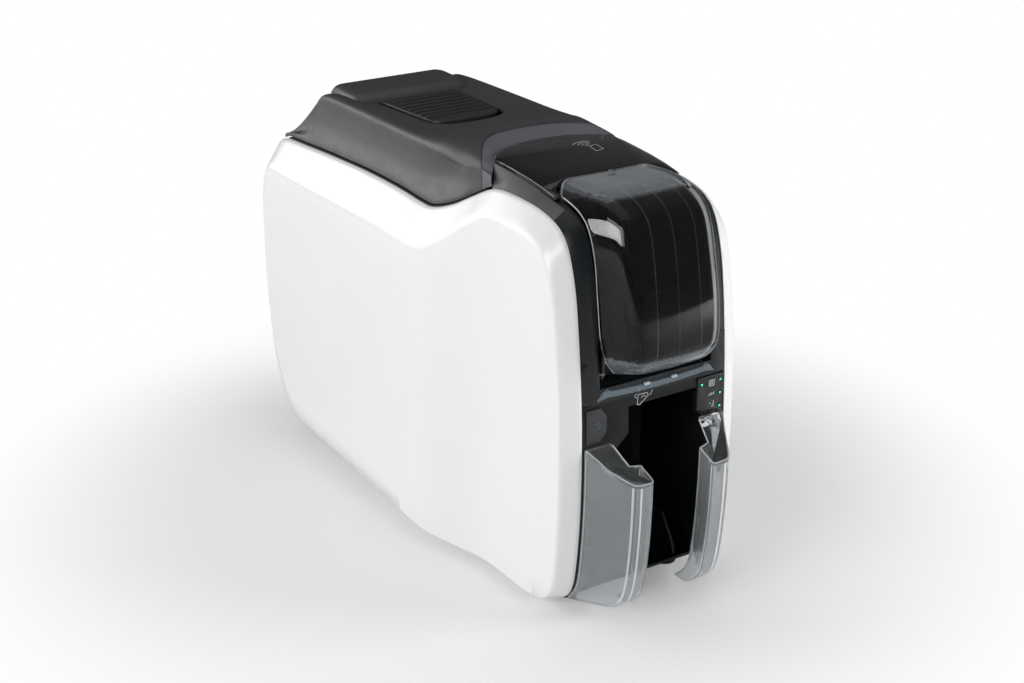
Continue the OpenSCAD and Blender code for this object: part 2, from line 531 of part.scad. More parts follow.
// ---- feeder magazine -----------------------------------------------------------------
mag_z1 = sz(240);
module feeder_magazine() {
    x0 = card_w / 2 + 1;
    color("#141517") translate([0, -dl, 0]) difference() {
        union() {
            both_sides() along_x(x0, x0 + 2) polygon([[-94, 160.5], [-94, mag_z1], [-158, mag_z1],
                [-169, mag_z1 - 14], [-175, mag_z1 - 44], [-178, 182], [-176, 168], [-160, 160.5]]);
            box([-x0 - 2, -160, 162.5], [x0 + 2, -94, 165.4]);
            along_x(-x0 - 2, x0 + 2) polygon([[-178, 168.4], [-160, 165.4], [-160, 162.5], [-176, 166]]);
            box([-42, -94.5, 168], [42, -92, mag_z1]);
            both_sides() box([34, -94.5, 150.4], [38.6, -92, 168.1]);
            both_sides() box([x0 + 1, -153, 163], [nose_hw - 1.4, -130, 165.4]);
        }
        box([-13, -123, 150], [13, -101, 170]);
        box([-9, -190, 160], [9, -163, 180]);
    }
    // bearing blocks for the pick roller and the stud of its idler
    color("#141517") translate([0, -dl, 0]) difference() {
        union() {
            both_sides() along_x(35, 37.6) polygon([[-120, 160.4], [-120, 151], [-115, 144], [-92.6, 140],
                [-92.6, 150.3], [-94.6, 150.3], [-94.6, 160.4]]);
            both_sides() box([card_w / 2 + 2, -120, 160.4], [37.6, -95, 162.4]);
            rod_x(pick_idler_c, 2, gear_x - gear_w - 0.6, -36);
        }
        rod_x(pick_c, shaft_d / 2 + run_gap, -60, 60);
    }
}
module card_weight() {
    color("#3a3d40") difference() {
        union() {
            box([-card_w / 2 + 0.6, -160 - dl, 166.4], [card_w / 2 - 0.6, -99 - dl, 169]);
            box([-14, -150 - dl, 169], [14, -147 - dl, 176]);
            box([-3, -147 - dl, 169], [3, -110 - dl, 172]);
        }
        box([-9, -170 - dl, 160], [9, -156 - dl, 180]);
    }
}

// ---- top cover -----------------------------------------------------------------------
// Shares of the half width where the deck has its guiding points
deck_at = [0.66, 0.5, 0.34, 0.12];
crown_i = 6 + len(deck_at);
// Half section of the cover: flared foot, leaning side, rounded shoulder and deck
function cover_half(wb, zb, wr, zr, r, zc, lean) = [[wb, zb], [mix(wb, wr, 0.08), zb + 2.4],
    [mix(wb, wr, 0.62) - lean, mix(zb, zr, 0.36)], [mix(wb, wr, 0.9) - lean * 0.8, mix(zb, zr, 0.66)],
    [wr, zr - r * 0.9], [wr - 0.28 * r, zr - 0.4 * r], [wr - 0.95 * r, zr - 0.03 * r],
    each [for (k = deck_at) [wr * k, mix(zr, zc, sin(90 * (1 - k)))]]];
function cover_ring(y, t) = let (
    v = y > 0 ? (y - dl * min(1, y / 85)) : y + dl * min(1, -y / 85),
    zb = deck_z(y) + 1.7,
    wb = rim_x(y) - 0.9 - t,
    wr = lookup(v, [[-80, 52.2], [-60, 52.3], [-44, 53], [-28, 53.8], [-10, 54.4], [11, 54.8], [90, 54.8],
        [139, 54.4], [150, 54], [180, 56.4], [187, 57.6]]) + (nose_hw - 52) - t,
    zr = sz(lookup(v, [[-80, 261.2], [-60, 263.8], [-44, 265.2], [-30, 265.6], [-18, 264.6],
        [-6, 262.4], [8, 260.3], [30, 259], [90, 256.6], [136, 255], [144, 253.4], [150, 249.6],
        [182, 224.2], [187, 221.8]])) - t,
    r = max(0.4, min(zr - zb - 1, lookup(v, [[-80, 12], [-36, 13], [-14, 9], [8, 5], [136, 5], [150, 4],
        [180, 1.5], [187, 0.8]]))),
    zc = sz(lookup(v, [[-80, 261.8], [-60, 264.4], [-44, 265.8], [-30, 266], [-18, 265], [-6, 262],
        [8, 259.6], [30, 258.4], [90, 256.2], [136, 255], [144, 253.4], [150, 249.6],
        [182, 224.2], [187, 221.8]])) - t,
    lean = lookup(v, [[-80, 0], [-50, 0.4], [-30, 3], [0, 1.2], [30, 0.4], [150, 0.2], [187, 0]]))
    cover_half(wb, zb, wr, zr, r, zc, lean);
// Rows of the front part run along the arch curves, so the cover and its band meet on one line
function row_y(x, u, band) = band ? mix(arch_front(x), arch_back(x) - 0.3, u) : mix(arch_back(x), sy(8), u);
function front_half(u, t, band, drop) = [for (i = [0:crown_i])
    let (g = cover_ring(row_y(nose_hw - 2, u, band), t)[i], h = cover_ring(row_y(g[0], u, band), t)[i],
    y = row_y(h[0], u, band), q = cover_ring(y, t)[i], zb = deck_z(y) + 1.7,
    f = 1 - drop / (cover_ring(y, 0)[crown_i][1] - zb))
    [q[0], y, zb + (max(zb + 0.01, q[1]) - zb) * f]];
function back_half(y, t) = let (zb = deck_z(y) + 1.7)
    [for (p = cover_ring(y, t)) [p[0], y, t > 0 ? max(zb + 0.01, p[1]) : p[1]]];
function flip3(p) = [for (v = p) [-v[0], v[1], v[2]]];
function hoop(o, i) = concat(o, rev(flip3(o)), flip3(i), rev(i));
cover_ys = [22, 40, 66, 92, 118, 136, 144, 150, 166, 180, 186];
module cover_skin() {
    loft(concat([for (u = [0, 0.1, 0.2, 0.32, 0.46, 0.64, 0.82, 1])
        hoop(front_half(u, 0, false, 0), front_half(u, wall, false, 0))],
        [for (y = cover_ys) hoop(back_half(sy(y), 0), back_half(sy(y), wall))]));
}
pad_y0 = 39;
pad_y1 = 103;
function pad_plan(d) = concat(arc([17, pad_y0 + 9], 9 + d, -90, -20, 5), [[29 + d, pad_y1 + d]],
    [[-29 - d, pad_y1 + d]], arc([-17, pad_y0 + 9], 9 + d, 200, 270, 5));
function pad_wide(d) = let (front = pad_y0 + 9 - d * 1.1)
    concat(arc([17 + d * 0.6, front], 9 + d * 0.6, -90, -20, 5), [[29 + d, pad_y1 + 1]],
    [[-29 - d, pad_y1 + 1]], arc([-17 - d * 0.6, front], 9 + d * 0.6, 200, 270, 5));
module pad_prism(p, z0, z1) {
    translate([0, dl, sz(z0)]) linear_extrude(height = z1 - z0) polygon(p);
}
module cover_block() {
    top = [[105, 253], [106.6, 257.6], [110, 260.8], [116, 262.6], [140, 263.2], [147, 261.6], [151.6, 257],
        [154, 247]];
    ends = [[-44, 3, 5.4], [-41, 1.1, 1.8], [-37, 0, 0], [37, 0, 0], [41, 1.1, 1.8], [44, 3, 5.4]];
    rings = [for (s = ends) [for (p = top)
        [s[0], sy(p[0] < 128 ? p[0] + s[1] : p[0] - s[1]), sz(max(247, p[1] - s[2]))]]];
    loft(rings);
}
module top_cover() {
    color("#1f2123") difference() {
        union() {
            cover_skin();
            cover_block();
        }
        pad_prism(pad_wide(2.2), 247, 275);
        rod_x(latch_axis, 1.8, -33.4, 33.4);
    }
}
// Frame screwed inside the cover: tub of the latch, hinge ears and the rail for the print head
module cover_inner_frame() {
    color("#2c2f32") difference() {
        union() {
            pad_prism(pad_wide(4.6), 246, 253.2);
            box([-43, 30 - dl, sz(247)], [43, 106 + dl, sz(249)]);
            box([-43, 103 + dl, sz(243.6)], [43, 141 + dl, sz(246.8)]);
            box([-49, 136 + dl, sz(242)], [49, 141 + dl, sz(246.6)]);
            box([-42, 28 - dl, sz(247)], [42, 31 - dl, sz(255)]);
            both_sides() box([40, 40 - dl, sz(248)], [42, 104 + dl, sz(251.6)]);
            both_sides() translate([0, dl, dh]) along_x(45, 49) polygon([[137, 248], [137, 238], [170, 216],
                [177, 211.4], [184, 211.4], [186.4, 214], [185, 218.6], [181, 220.4], [150, 244],
                [147, 248]]);
        }
        pad_prism(pad_wide(2.2), 249, 275);
        rod_x(latch_axis, 1.5, -33, 33);
        rod_x(cover_axis, cover_pin_r + run_gap, -60, 60);
    }
}
// Grey band at the front of the cover, dropping forwards to the nose
module cover_arch_band() {
    color("#5a5e62") loft([for (u = [0, 0.34, 0.67, 1]) let (drop = mix(4.4, 0.4, u))
        hoop(front_half(u, 0.35, true, drop), front_half(u, wall, true, drop))]);
}
module cover_hinge_pins() {
    color("silver") both_sides() rod_x(cover_axis, cover_pin_r, 41.4, 52.6);
}
module latch_pin() { color("silver") rod_x(latch_axis, 1.5, -33, 33); }
module cover_latch() {
    color("#131416") difference() {
        union() {
            pad_prism(pad_plan(0), 254, 258);
            intersection() {
                for (i = [0:6]) rod_x([dl + pad_y0 + 12 + i * 7.4, sz(257.6)], 1.5, -28, 28);
                pad_prism(pad_plan(-1.5), 250, 262);
            }
            box([-20, dl + pad_y1 - 5, sz(251.6)], [20, dl + pad_y1 + 0.4, sz(255)]);
        }
        rod_x(latch_axis, 1.5 + run_gap, -40, 40);
    }
}
module latch_spring() {
    color("silver") for (i = [0:2]) translate([0, dl + 62, sz(249.5) + i * 1.5])
        rotate_extrude() translate([5, 0]) circle(d = 0.8, $fn = 16);
}

// Print head hung under the cover, its ceramic edge just above the platen
module print_head_bracket() {
    color("#8d9196") difference() {
        union() {
            box([-29, -9 - dl, 182], [29, 12 - dl, 185]);
            both_sides() box([26, -9 - dl, 182], [29, 12 - dl, sz(236)]);
            both_sides() box([17, -9 - dl, sz(234)], [29, 31 - dl, sz(237)]);
            both_sides() box([17, 28 - dl, sz(235)], [29, 31 - dl, sz(247)]);
        }
        both_sides() along_x(20, 40) translate([1.5 - dl, 205]) circle(d = 9);
    }
}
module print_head() {
    color("#b9b29f") {
        box([-28, -7 - dl, 172], [28, 9 - dl, 182]);
        translate([0, -dl, 0]) along_x(-28, 28)
            polygon([[-7, 172], [-4, 168.2], [1, 167.5], [2.5, 168.4], [6, 172]]);
    }
}

// ---- chassis and card path -----------------------------------------------------------
module chassis_plate_2d() {
    difference() {
        polygon(concat([[plate_y0, 26]], [for (y = [-84:16:108]) [y, tray_floor(y - dl) + 0.1]],
            [[112, 24], [112, 150], [96, 180], [92, 213],
            [74, 214], [66, 206], [26, 206], [20, 176], [-20, 176], [-24, 206], [-62, 206], [-68, 212],
            [-84, 212], [plate_y0, 200]]));
        for (c = [supply_c, take_up_c]) {
            translate(c) circle(r = spool_r + 0.3);
            translate(c - [spool_r + 0.3, 0]) square([2 * spool_r + 0.6, 30]);
        }
        for (c = [feed_c, platen_c, rear_c]) translate(c) circle(d = shaft_d + 4);
        translate([-78, path_z + 6.4]) circle(d = shaft_d + 2);
        translate([62, path_z + 6.4]) circle(d = shaft_d + 2);
        translate([-50, 60]) square([70, 60]);
        translate([60, 40]) square([36, 70]);
    }
}
module left_chassis_plate() {
    color("#9aa0a5") translate([0, -dl, 0]) difference() {
        union() {
            along_x(-plate_in - plate_t, -plate_in) chassis_plate_2d();
            for (c = stud_at) {
                rod_x(c, stud_r, gear_x - gear_w - 0.4, -plate_in - plate_t / 2);
                rod_x(c, stud_r + 1.6, gear_x - gear_w - 1.8, gear_x - gear_w - 0.4);
                rod_x(c, stud_r + 1.2, -plate_in - plate_t - 1, -plate_in - plate_t / 2);
            }
        }
        rod_x(motor_c, 6, -60, 0);
    }
}
module right_chassis_plate() {
    color("#9aa0a5") translate([0, -dl, 0]) along_x(plate_in, plate_in + plate_t) chassis_plate_2d();
}
module chassis_spacers() {
    color("#777c80") translate([0, -dl, 0]) {
        for (c = [[-72, 40], [100, 40], [100, 130], [84, 206], [-77, 204]])
            rod_x(c, 3, -plate_in, plate_in);
    }
}
module lower_card_guide() {
    color("#2b2e31") translate([0, -dl, 0]) difference() {
        union() {
            box([-plate_in, -90, path_z - 2.6], [plate_in, 100, path_z - 0.6]);
            both_sides() box([card_w / 2 + 0.6, -90, path_z - 0.7], [card_w / 2 + 2.6, -16, path_z + 2]);
            both_sides() box([card_w / 2 + 0.6, 16, path_z - 0.7], [card_w / 2 + 2.6, 100, path_z + 2]);
        }
        for (y = [-78, 0, 62]) box([-card_w / 2 - 3.2, y - roller_d / 2 - 1.2, 150],
            [card_w / 2 + 3.2, y + roller_d / 2 + 1.2, 180]);
    }
}
// Rubber-covered roller on its shaft, ending in a driven gear on the left
module roller(c, d, half, teeth, turn) {
    translate([0, -dl, 0]) {
        rod_x(c, d / 2, -half, half);
        rod_x(c, shaft_d / 2, gear_x - gear_w - 1, plate_in + plate_t + 2.4);
        gear_x_at(c, teeth, gear_m, gear_x - gear_w, turn);
    }
}
main_teeth = 30;
pick_teeth = 22;
pinion_teeth = 12;
mesh_gap = 0.2;
feed_idler_teeth = ceil((feed_c[0] - platen_c[0]) / -gear_m - main_teeth);
rear_idler_teeth = ceil((rear_c[0] - platen_c[0]) / gear_m - main_teeth);
pick_idler_teeth = max(16, ceil((70.4 / gear_m - main_teeth - pick_teeth) / 2) + 2);
function gear_span(a, b) = (a + b) * gear_m / 2 + mesh_gap;
// Centre of an idler between two gears, under the line that joins them
function between(a, b, ra, rb) = let (v = b - a, d = norm(v), k = (ra * ra - rb * rb + d * d) / (2 * d),
    h = sqrt(max(0, ra * ra - k * k))) a + v * k / d + [v[1], -v[0]] * h / d;
pick_idler_c = between(pick_c, feed_c, gear_span(pick_teeth, pick_idler_teeth),
    gear_span(main_teeth, pick_idler_teeth));
feed_idler_c = between(feed_c, platen_c, gear_span(main_teeth, feed_idler_teeth),
    gear_span(main_teeth, feed_idler_teeth));
rear_idler_c = between(platen_c, rear_c, gear_span(main_teeth, rear_idler_teeth),
    gear_span(main_teeth, rear_idler_teeth));
motor_c = rear_idler_c - [0, gear_span(rear_idler_teeth, pinion_teeth)];
stud_at = [feed_idler_c, rear_idler_c];
// Turn of gear b so that its gap meets a tooth of gear a
function mesh_turn(ca, ta, turn_a, cb, tb) = let (v = cb - ca, phi = atan2(v[1], v[0]),
    u = (phi - turn_a) * ta / 360) phi + 180 - (0.5 - u) * 360 / tb;
feed_idler_turn = mesh_turn(platen_c, main_teeth, 0, feed_idler_c, feed_idler_teeth);
feed_turn = mesh_turn(feed_idler_c, feed_idler_teeth, feed_idler_turn, feed_c, main_teeth);
pick_idler_turn = mesh_turn(feed_c, main_teeth, feed_turn, pick_idler_c, pick_idler_teeth);
pick_turn = mesh_turn(pick_idler_c, pick_idler_teeth, pick_idler_turn, pick_c, pick_teeth);
rear_idler_turn = mesh_turn(platen_c, main_teeth, 0, rear_idler_c, rear_idler_teeth);
rear_turn = mesh_turn(rear_idler_c, rear_idler_teeth, rear_idler_turn, rear_c, main_teeth);
pinion_turn = mesh_turn(rear_idler_c, rear_idler_teeth, rear_idler_turn, motor_c, pinion_teeth);
stud_r = 3;
module pick_roller() {
    color("#202224") {
        translate([0, -dl, 0]) {
            rod_x(pick_c, 8, -12, 12);
            rod_x(pick_c, shaft_d / 2, gear_x - gear_w - 1, 42);
            gear_x_at(pick_c, pick_teeth, gear_m, gear_x - gear_w, pick_turn);
        }
    }
}
module feed_roller() { color("#26282a") roller(feed_c, roller_d, card_w / 2 + 1.5, main_teeth, feed_turn); }
module platen_roller() { color("#1d1e20") roller(platen_c, roller_d, card_w / 2 + 1.5, main_teeth, 0); }
module rear_roller() { color("#26282a") roller(rear_c, roller_d, card_w / 2 + 1.5, main_teeth, rear_turn); }
module idle_roller(y) {
    c = [y - dl, path_z + 6.4];
    rod_x(c, 5, -card_w / 2, card_w / 2);
    rod_x(c, shaft_d / 2, -plate_in - plate_t - 1, plate_in + plate_t + 1);
}
module cleaning_roller() { color("#3d6fb4") idle_roller(-78); }
module pinch_roller() { color("#26282a") idle_roller(62); }
module shaft_bushes() {
    color("#c9b27a") translate([0, -dl, 0]) {
        for (c = [feed_c, platen_c, rear_c], s = [-1, 1]) {
            x0 = s > 0 ? plate_in - 0.6 : -plate_in - plate_t - 0.8;
            tube_x(c, shaft_d / 2 + 2, shaft_d / 2 + run_gap, x0, x0 + plate_t + 1.4);
        }
        for (y = [-78, 62], s = [-1, 1]) {
            x0 = s > 0 ? plate_in : -plate_in - plate_t;
            tube_x([y, path_z + 6.4], shaft_d / 2 + 1, shaft_d / 2 + run_gap, x0, x0 + plate_t);
        }
    }
}
// Idler gear running on its own stud
module idler(c, teeth, turn, bore) {
    color("#e8e4d8") translate([0, -dl, 0]) difference() {
        gear_x_at(c, teeth, gear_m, gear_x - gear_w, turn);
        rod_x(c, bore + run_gap, -80, 0);
    }
}
module pick_idler() { idler(pick_idler_c, pick_idler_teeth, pick_idler_turn, 2); }
module feed_idler() { idler(feed_idler_c, feed_idler_teeth, feed_idler_turn, stud_r); }
module rear_idler() { idler(rear_idler_c, rear_idler_teeth, rear_idler_turn, stud_r); }
module motor_pinion() {
    color("#c9b27a") translate([0, -dl, 0]) {
        gear_x_at(motor_c, pinion_teeth, gear_m, gear_x - gear_w, pinion_turn);
        rod_x(motor_c, 1.5, gear_x - gear_w - 1, -plate_in - plate_t - 0.7);
    }
}
module drive_motor() {
    color("#6d7176") translate([0, -dl, 0]) {
        difference() {
            translate([-plate_in, motor_c[0] - 17.5, motor_c[1] - 17.5]) cube([32, 35, 35]);
            for (a = [-17.5, 17.5], b = [-17.5, 17.5])
                translate([-plate_in - 1, motor_c[0] + a, motor_c[1] + b])
                rotate([45, 0, 0]) translate([0, -2.4, -2.4]) cube([40, 4.8, 4.8]);
        }
        rod_x(motor_c, 5.8, -plate_in - plate_t - 0.6, -plate_in);
    }
}
// ---- ribbon --------------------------------------------------------------------------
spool_r = 3;
supply_r = 15;
take_up_r = 12;
web_z = path_z + 1.15;
bar_y = 15;
spool_gear_teeth = 24;
ribbon_motor_c = take_up_c + gear_span(spool_gear_teeth, pinion_teeth) * [cos(215), sin(215)];
module ribbon_cassette() {
    color("#4a4e52") translate([0, -dl, 0]) difference() {
        union() {
            both_sides() along_x(31, 33) polygon([[-60, 200], [-54, 214], [-36, 214], [-26, 200], [-20, 182],
                [20, 182], [30, 200], [36, 217], [58, 217], [67, 204], [58, 184], [20, web_z + 0.6],
                [-20, web_z + 0.6], [-54, 184]]);
            for (c = [[-bar_y, web_z + 2.6], [bar_y, web_z + 2.6]]) rod_x(c, 1.9, -31.5, 31.5);
            for (c = [[-56, 207], [62.5, 208]]) rod_x(c, 2, -31.5, 31.5);
        }
        for (c = [supply_c, take_up_c]) rod_x(c, spool_r + run_gap, -40, 40);
    }
}
module spool(c, ends) {
    rod_x(c, 9, -28, 28);
    both_sides() rod_x(c, spool_r, 27, ends);
    both_sides() rod_x(c, 13.5, 28, 29.4);
}
module supply_spool() {
    color("#d8d8d2") translate([0, -dl, 0]) spool(supply_c, 40);
    color("#7a2f74") translate([0, -dl, 0]) tube_x(supply_c, supply_r, 9, -27, 27);
}
module take_up_spool() {
    color("#d8d8d2") translate([0, -dl, 0]) {
        spool(take_up_c, 40);
        gear_x_at(take_up_c, spool_gear_teeth, gear_m, 39.6, 0);
    }
    color("#7a2f74") translate([0, -dl, 0]) tube_x(take_up_c, take_up_r, 9, -27, 27);
}
// Where a line from p touches a circle
function touch(p, c, r, s) = let (v = c - p, d = norm(v), a = atan2(v[1], v[0]) + s * asin(r / d))
    p + sqrt(d * d - r * r) * [cos(a), sin(a)];
module ribbon_film() {
    a = [-bar_y - 2, web_z];
    b = [bar_y + 2, web_z];
    line = [touch(a, take_up_c, take_up_r + 0.3, 1), a, b, touch(b, supply_c, supply_r + 0.3, -1)];
    under = [for (p = line) p - [0, 0.15]];
    color("#8d3f86") translate([0, -dl, 0]) along_x(-27, 27) polygon(concat(line, rev(under)));
}
module ribbon_motor() {
    color("#6d7176") translate([0, -dl, 0]) {
        rod_x(ribbon_motor_c, 9, 46.4, 62);
        difference() {
            box([45, ribbon_motor_c[0] - 13, ribbon_motor_c[1] - 6],
                [46.4, ribbon_motor_c[0] + 9, ribbon_motor_c[1] + 6]);
            rod_x(ribbon_motor_c, 3, 40, 50);
        }
        rod_x(ribbon_motor_c - [10.4, 0], 2, plate_in + plate_t, 45);
    }
}
module ribbon_pinion() {
    turn = mesh_turn(take_up_c, spool_gear_teeth, 0, ribbon_motor_c, pinion_teeth);
    color("#c9b27a") translate([0, -dl, 0]) {
        gear_x_at(ribbon_motor_c, pinion_teeth, gear_m, 39.6, turn);
        rod_x(ribbon_motor_c, 1.5, 44, 46.3);
    }
}

// ---- electronics ---------------------------------------------------------------------
board_z = socket_z - 7.4;
module circuit_board() {
    color("#1f6b45") difference() {
        union() {
            box([-50, 116 + dl, board_z], [50, 179 + dl, board_z + 1.6]);
            for (x = [-44, 44], y = [122 + dl, 166 + dl]) translate([x, y, tray_floor(y) + 0.6])
                cylinder(d = 6, h = board_z - tray_floor(y) - 0.6);
        }
        for (x = [-44, 44], y = [122 + dl, 166 + dl]) translate([x, y, board_z - 6]) cylinder(d = 3, h = 40);
    }
    color("#151515") box([-12, 134 + dl, board_z + 1.6], [10, 156 + dl, board_z + 4.4]);
    color("#2b2b2b") for (i = [0:3]) translate([-36 + i * 8, 126 + dl, board_z + 1.6]) cylinder(d = 6, h = 9);
}
module power_inlet() {
    color("#0e0e0e") difference() {
        box([inlet_c[0] - 6.9, bay_y - 17, board_z + 1.6], [inlet_c[0] + 6.9, bay_y, inlet_c[1] + 5.9]);
        translate([inlet_c[0], bay_y - 14, inlet_c[1]]) rotate([-90, 0, 0]) cylinder(d = 8, h = 30);
    }
    color("silver") translate([inlet_c[0], bay_y - 14.1, inlet_c[1]]) rotate([-90, 0, 0])
        cylinder(d = 2.2, h = 13);
}
module data_ports() {
    color("#b4b8bb") difference() {
        box([usb_c[0] - 6.4, bay_y - 17, board_z + 1.6], [usb_c[0] + 6.4, bay_y + 0.3, usb_c[1] + 5.9]);
        box([usb_c[0] - 4.6, bay_y - 15, usb_c[1] - 4.6], [usb_c[0] + 4.6, bay_y + 5, usb_c[1] + 4.4]);
    }
    color("white") box([usb_c[0] - 2.8, bay_y - 15.1, usb_c[1] - 1.6],
        [usb_c[0] + 2.8, bay_y - 1, usb_c[1] + 1.6]);
    color("#b4b8bb") difference() {
        box([net_c[0] - 8.2, bay_y - 19, board_z + 1.6], [net_c[0] + 8.2, bay_y + 0.3, net_c[1] + 6.9]);
        along_y(bay_y - 16, bay_y + 5) translate(net_c)
            polygon([[-6, -5], [6, -5], [6, 1], [3, 1], [3, 5], [-3, 5], [-3, 1], [-6, 1]]);
    }
}

left_side_panel();
right_side_panel();
base_tray();
rear_panel();
top_frame();
front_bezel();
front_top_plate();
lower_face();
light_bar();
control_panel();
status_leds();
power_button();
power_button_spring();
power_switch();
hopper_tray();
left_output_wing();
right_output_wing();
feeder_door();
feeder_door_liner();
feeder_door_pins();
feeder_magazine();
card_weight();
top_cover();
cover_inner_frame();
cover_arch_band();
cover_hinge_pins();
cover_latch();
latch_pin();
latch_spring();
print_head();
print_head_bracket();
left_chassis_plate();
right_chassis_plate();
chassis_spacers();
lower_card_guide();
pick_roller();
feed_roller();
platen_roller();
rear_roller();
cleaning_roller();
pinch_roller();
shaft_bushes();
pick_idler();
feed_idler();
rear_idler();
motor_pinion();
drive_motor();
ribbon_cassette();
supply_spool();
take_up_spool();
ribbon_film();
ribbon_motor();
ribbon_pinion();
circuit_board();
power_inlet();
data_ports();
rubber_feet();
casing_screws();
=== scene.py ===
"""Finish and fine shapes of a compact ID card printer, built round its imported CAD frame.

Sizes are in millimetres until a mesh is made, and then in metres. +X is to the right seen from the
front, the front faces -Y, and the floor is at z = 0.
"""

import json
import logging
import math
from dataclasses import dataclass, field
from enum import Enum
from typing import Callable, Sequence

import bmesh
import bpy
import numpy as np
from mathutils import Matrix, Vector

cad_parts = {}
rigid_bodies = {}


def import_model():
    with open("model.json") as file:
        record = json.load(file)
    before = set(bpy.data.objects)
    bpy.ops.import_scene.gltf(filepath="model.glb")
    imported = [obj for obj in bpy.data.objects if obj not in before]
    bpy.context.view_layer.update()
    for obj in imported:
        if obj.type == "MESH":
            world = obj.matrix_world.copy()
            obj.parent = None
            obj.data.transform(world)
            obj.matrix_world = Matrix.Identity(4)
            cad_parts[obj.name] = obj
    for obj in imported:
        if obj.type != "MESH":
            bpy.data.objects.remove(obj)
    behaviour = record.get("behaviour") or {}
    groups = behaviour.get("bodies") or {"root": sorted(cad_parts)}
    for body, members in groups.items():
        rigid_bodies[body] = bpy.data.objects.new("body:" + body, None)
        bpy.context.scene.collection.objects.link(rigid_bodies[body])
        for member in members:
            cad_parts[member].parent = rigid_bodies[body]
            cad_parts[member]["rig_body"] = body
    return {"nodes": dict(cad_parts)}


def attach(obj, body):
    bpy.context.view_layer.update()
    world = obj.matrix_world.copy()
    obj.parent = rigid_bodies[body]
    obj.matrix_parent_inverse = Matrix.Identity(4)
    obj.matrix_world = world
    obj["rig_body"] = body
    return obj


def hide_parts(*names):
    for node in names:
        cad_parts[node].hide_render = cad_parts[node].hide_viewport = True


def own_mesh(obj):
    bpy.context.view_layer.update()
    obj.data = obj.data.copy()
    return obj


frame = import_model()

LOG = logging.getLogger("card_printer")
MM = 0.001
Colour = tuple[float, float, float]
Table = Sequence[Sequence[float]]


# ---------------------------------------------------------------- small sums
def mix(a: float, b: float, t: float) -> float:
    """The value a share t of the way from a to b."""
    return a + (b - a) * t


def ease(t: float) -> float:
    """A smooth step from 0 to 1."""
    c = min(1.0, max(0.0, t))
    return c * c * (3 - 2 * c)


def lookup(x: float, table: Table) -> float:
    """The straight-line value of a table of (x, value) rows in either order.

    Args:
        x: Where to read the table.
        table: Rows of (x, value).

    Returns:
        The value at x, held at the ends.
    """
    rows = sorted((float(a), float(b)) for a, b in table)
    return float(np.interp(x, [r[0] for r in rows], [r[1] for r in rows]))


@dataclass(frozen=True)
class Fair:
    """A smooth curve through a table of (x, value) rows that never overshoots them."""

    rows: tuple[tuple[float, float], ...]

    def __call__(self, x: float) -> float:
        """The value of the curve.

        Args:
            x: Where to read it.

        Returns:
            The value at x, held at the ends.
        """
        xs = [r[0] for r in self.rows]
        ys = [r[1] for r in self.rows]
        if x <= xs[0]:
            return ys[0]
        if x >= xs[-1]:
            return ys[-1]
        k = max(i for i in range(len(xs)) if xs[i] <= x)
        k = min(k, len(xs) - 2)
        m0, m1 = self.slope(k), self.slope(k + 1)
        h = xs[k + 1] - xs[k]
        t = (x - xs[k]) / h
        return (
            (2 * t**3 - 3 * t**2 + 1) * ys[k]
            + (t**3 - 2 * t**2 + t) * h * m0
            + (3 * t**2 - 2 * t**3) * ys[k + 1]
            + (t**3 - t**2) * h * m1
        )

    def slope(self, k: int) -> float:
        """The slope of the curve at a row, flat where the rows turn.

        Args:
            k: The row's number.

        Returns:
            The slope.
        """
        rise = [(b[1] - a[1]) / (b[0] - a[0]) for a, b in zip(self.rows, self.rows[1:])]
        if k in (0, len(rise)):
            return 0.0 if len(rise) < 2 else rise[0] if k == 0 else rise[-1]
        before, after = rise[k - 1], rise[k]
        return 0.0 if before * after <= 0 else 2 * before * after / (before + after)


def fair(table: Table) -> Fair:
    """A Fair curve from a table whose rows may be in either order."""
    return Fair(tuple(sorted((float(a), float(b)) for a, b in table)))


def spline(points: Sequence[Sequence[float]], steps: int, closed: bool = False) -> np.ndarray:
    """Points along a smooth curve through the given ones.

    Args:
        points: The points that the curve passes through.
        steps: Steps from each point to the next.
        closed: Whether the last point joins the first.

    Returns:
        An array of points, without a repeated last point on a closed curve.
    """
    p = np.asarray(points, float)
    n = len(p)
    spans = n if closed else n - 1
    out = []
    for i in range(spans):
        if closed:
            a, b, c, d = p[(i - 1) % n], p[i], p[(i + 1) % n], p[(i + 2) % n]
        else:
            a, b, c, d = p[max(0, i - 1)], p[i], p[i + 1], p[min(n - 1, i + 2)]
        for j in range(steps):
            t = j / steps
            out.append(
                0.5 * (2 * b + (c - a) * t + (2 * a - 5 * b + 4 * c - d) * t**2
                       + (3 * b - a - 3 * c + d) * t**3)
            )
    if not closed:
        out.append(p[-1])
    return np.array(out)


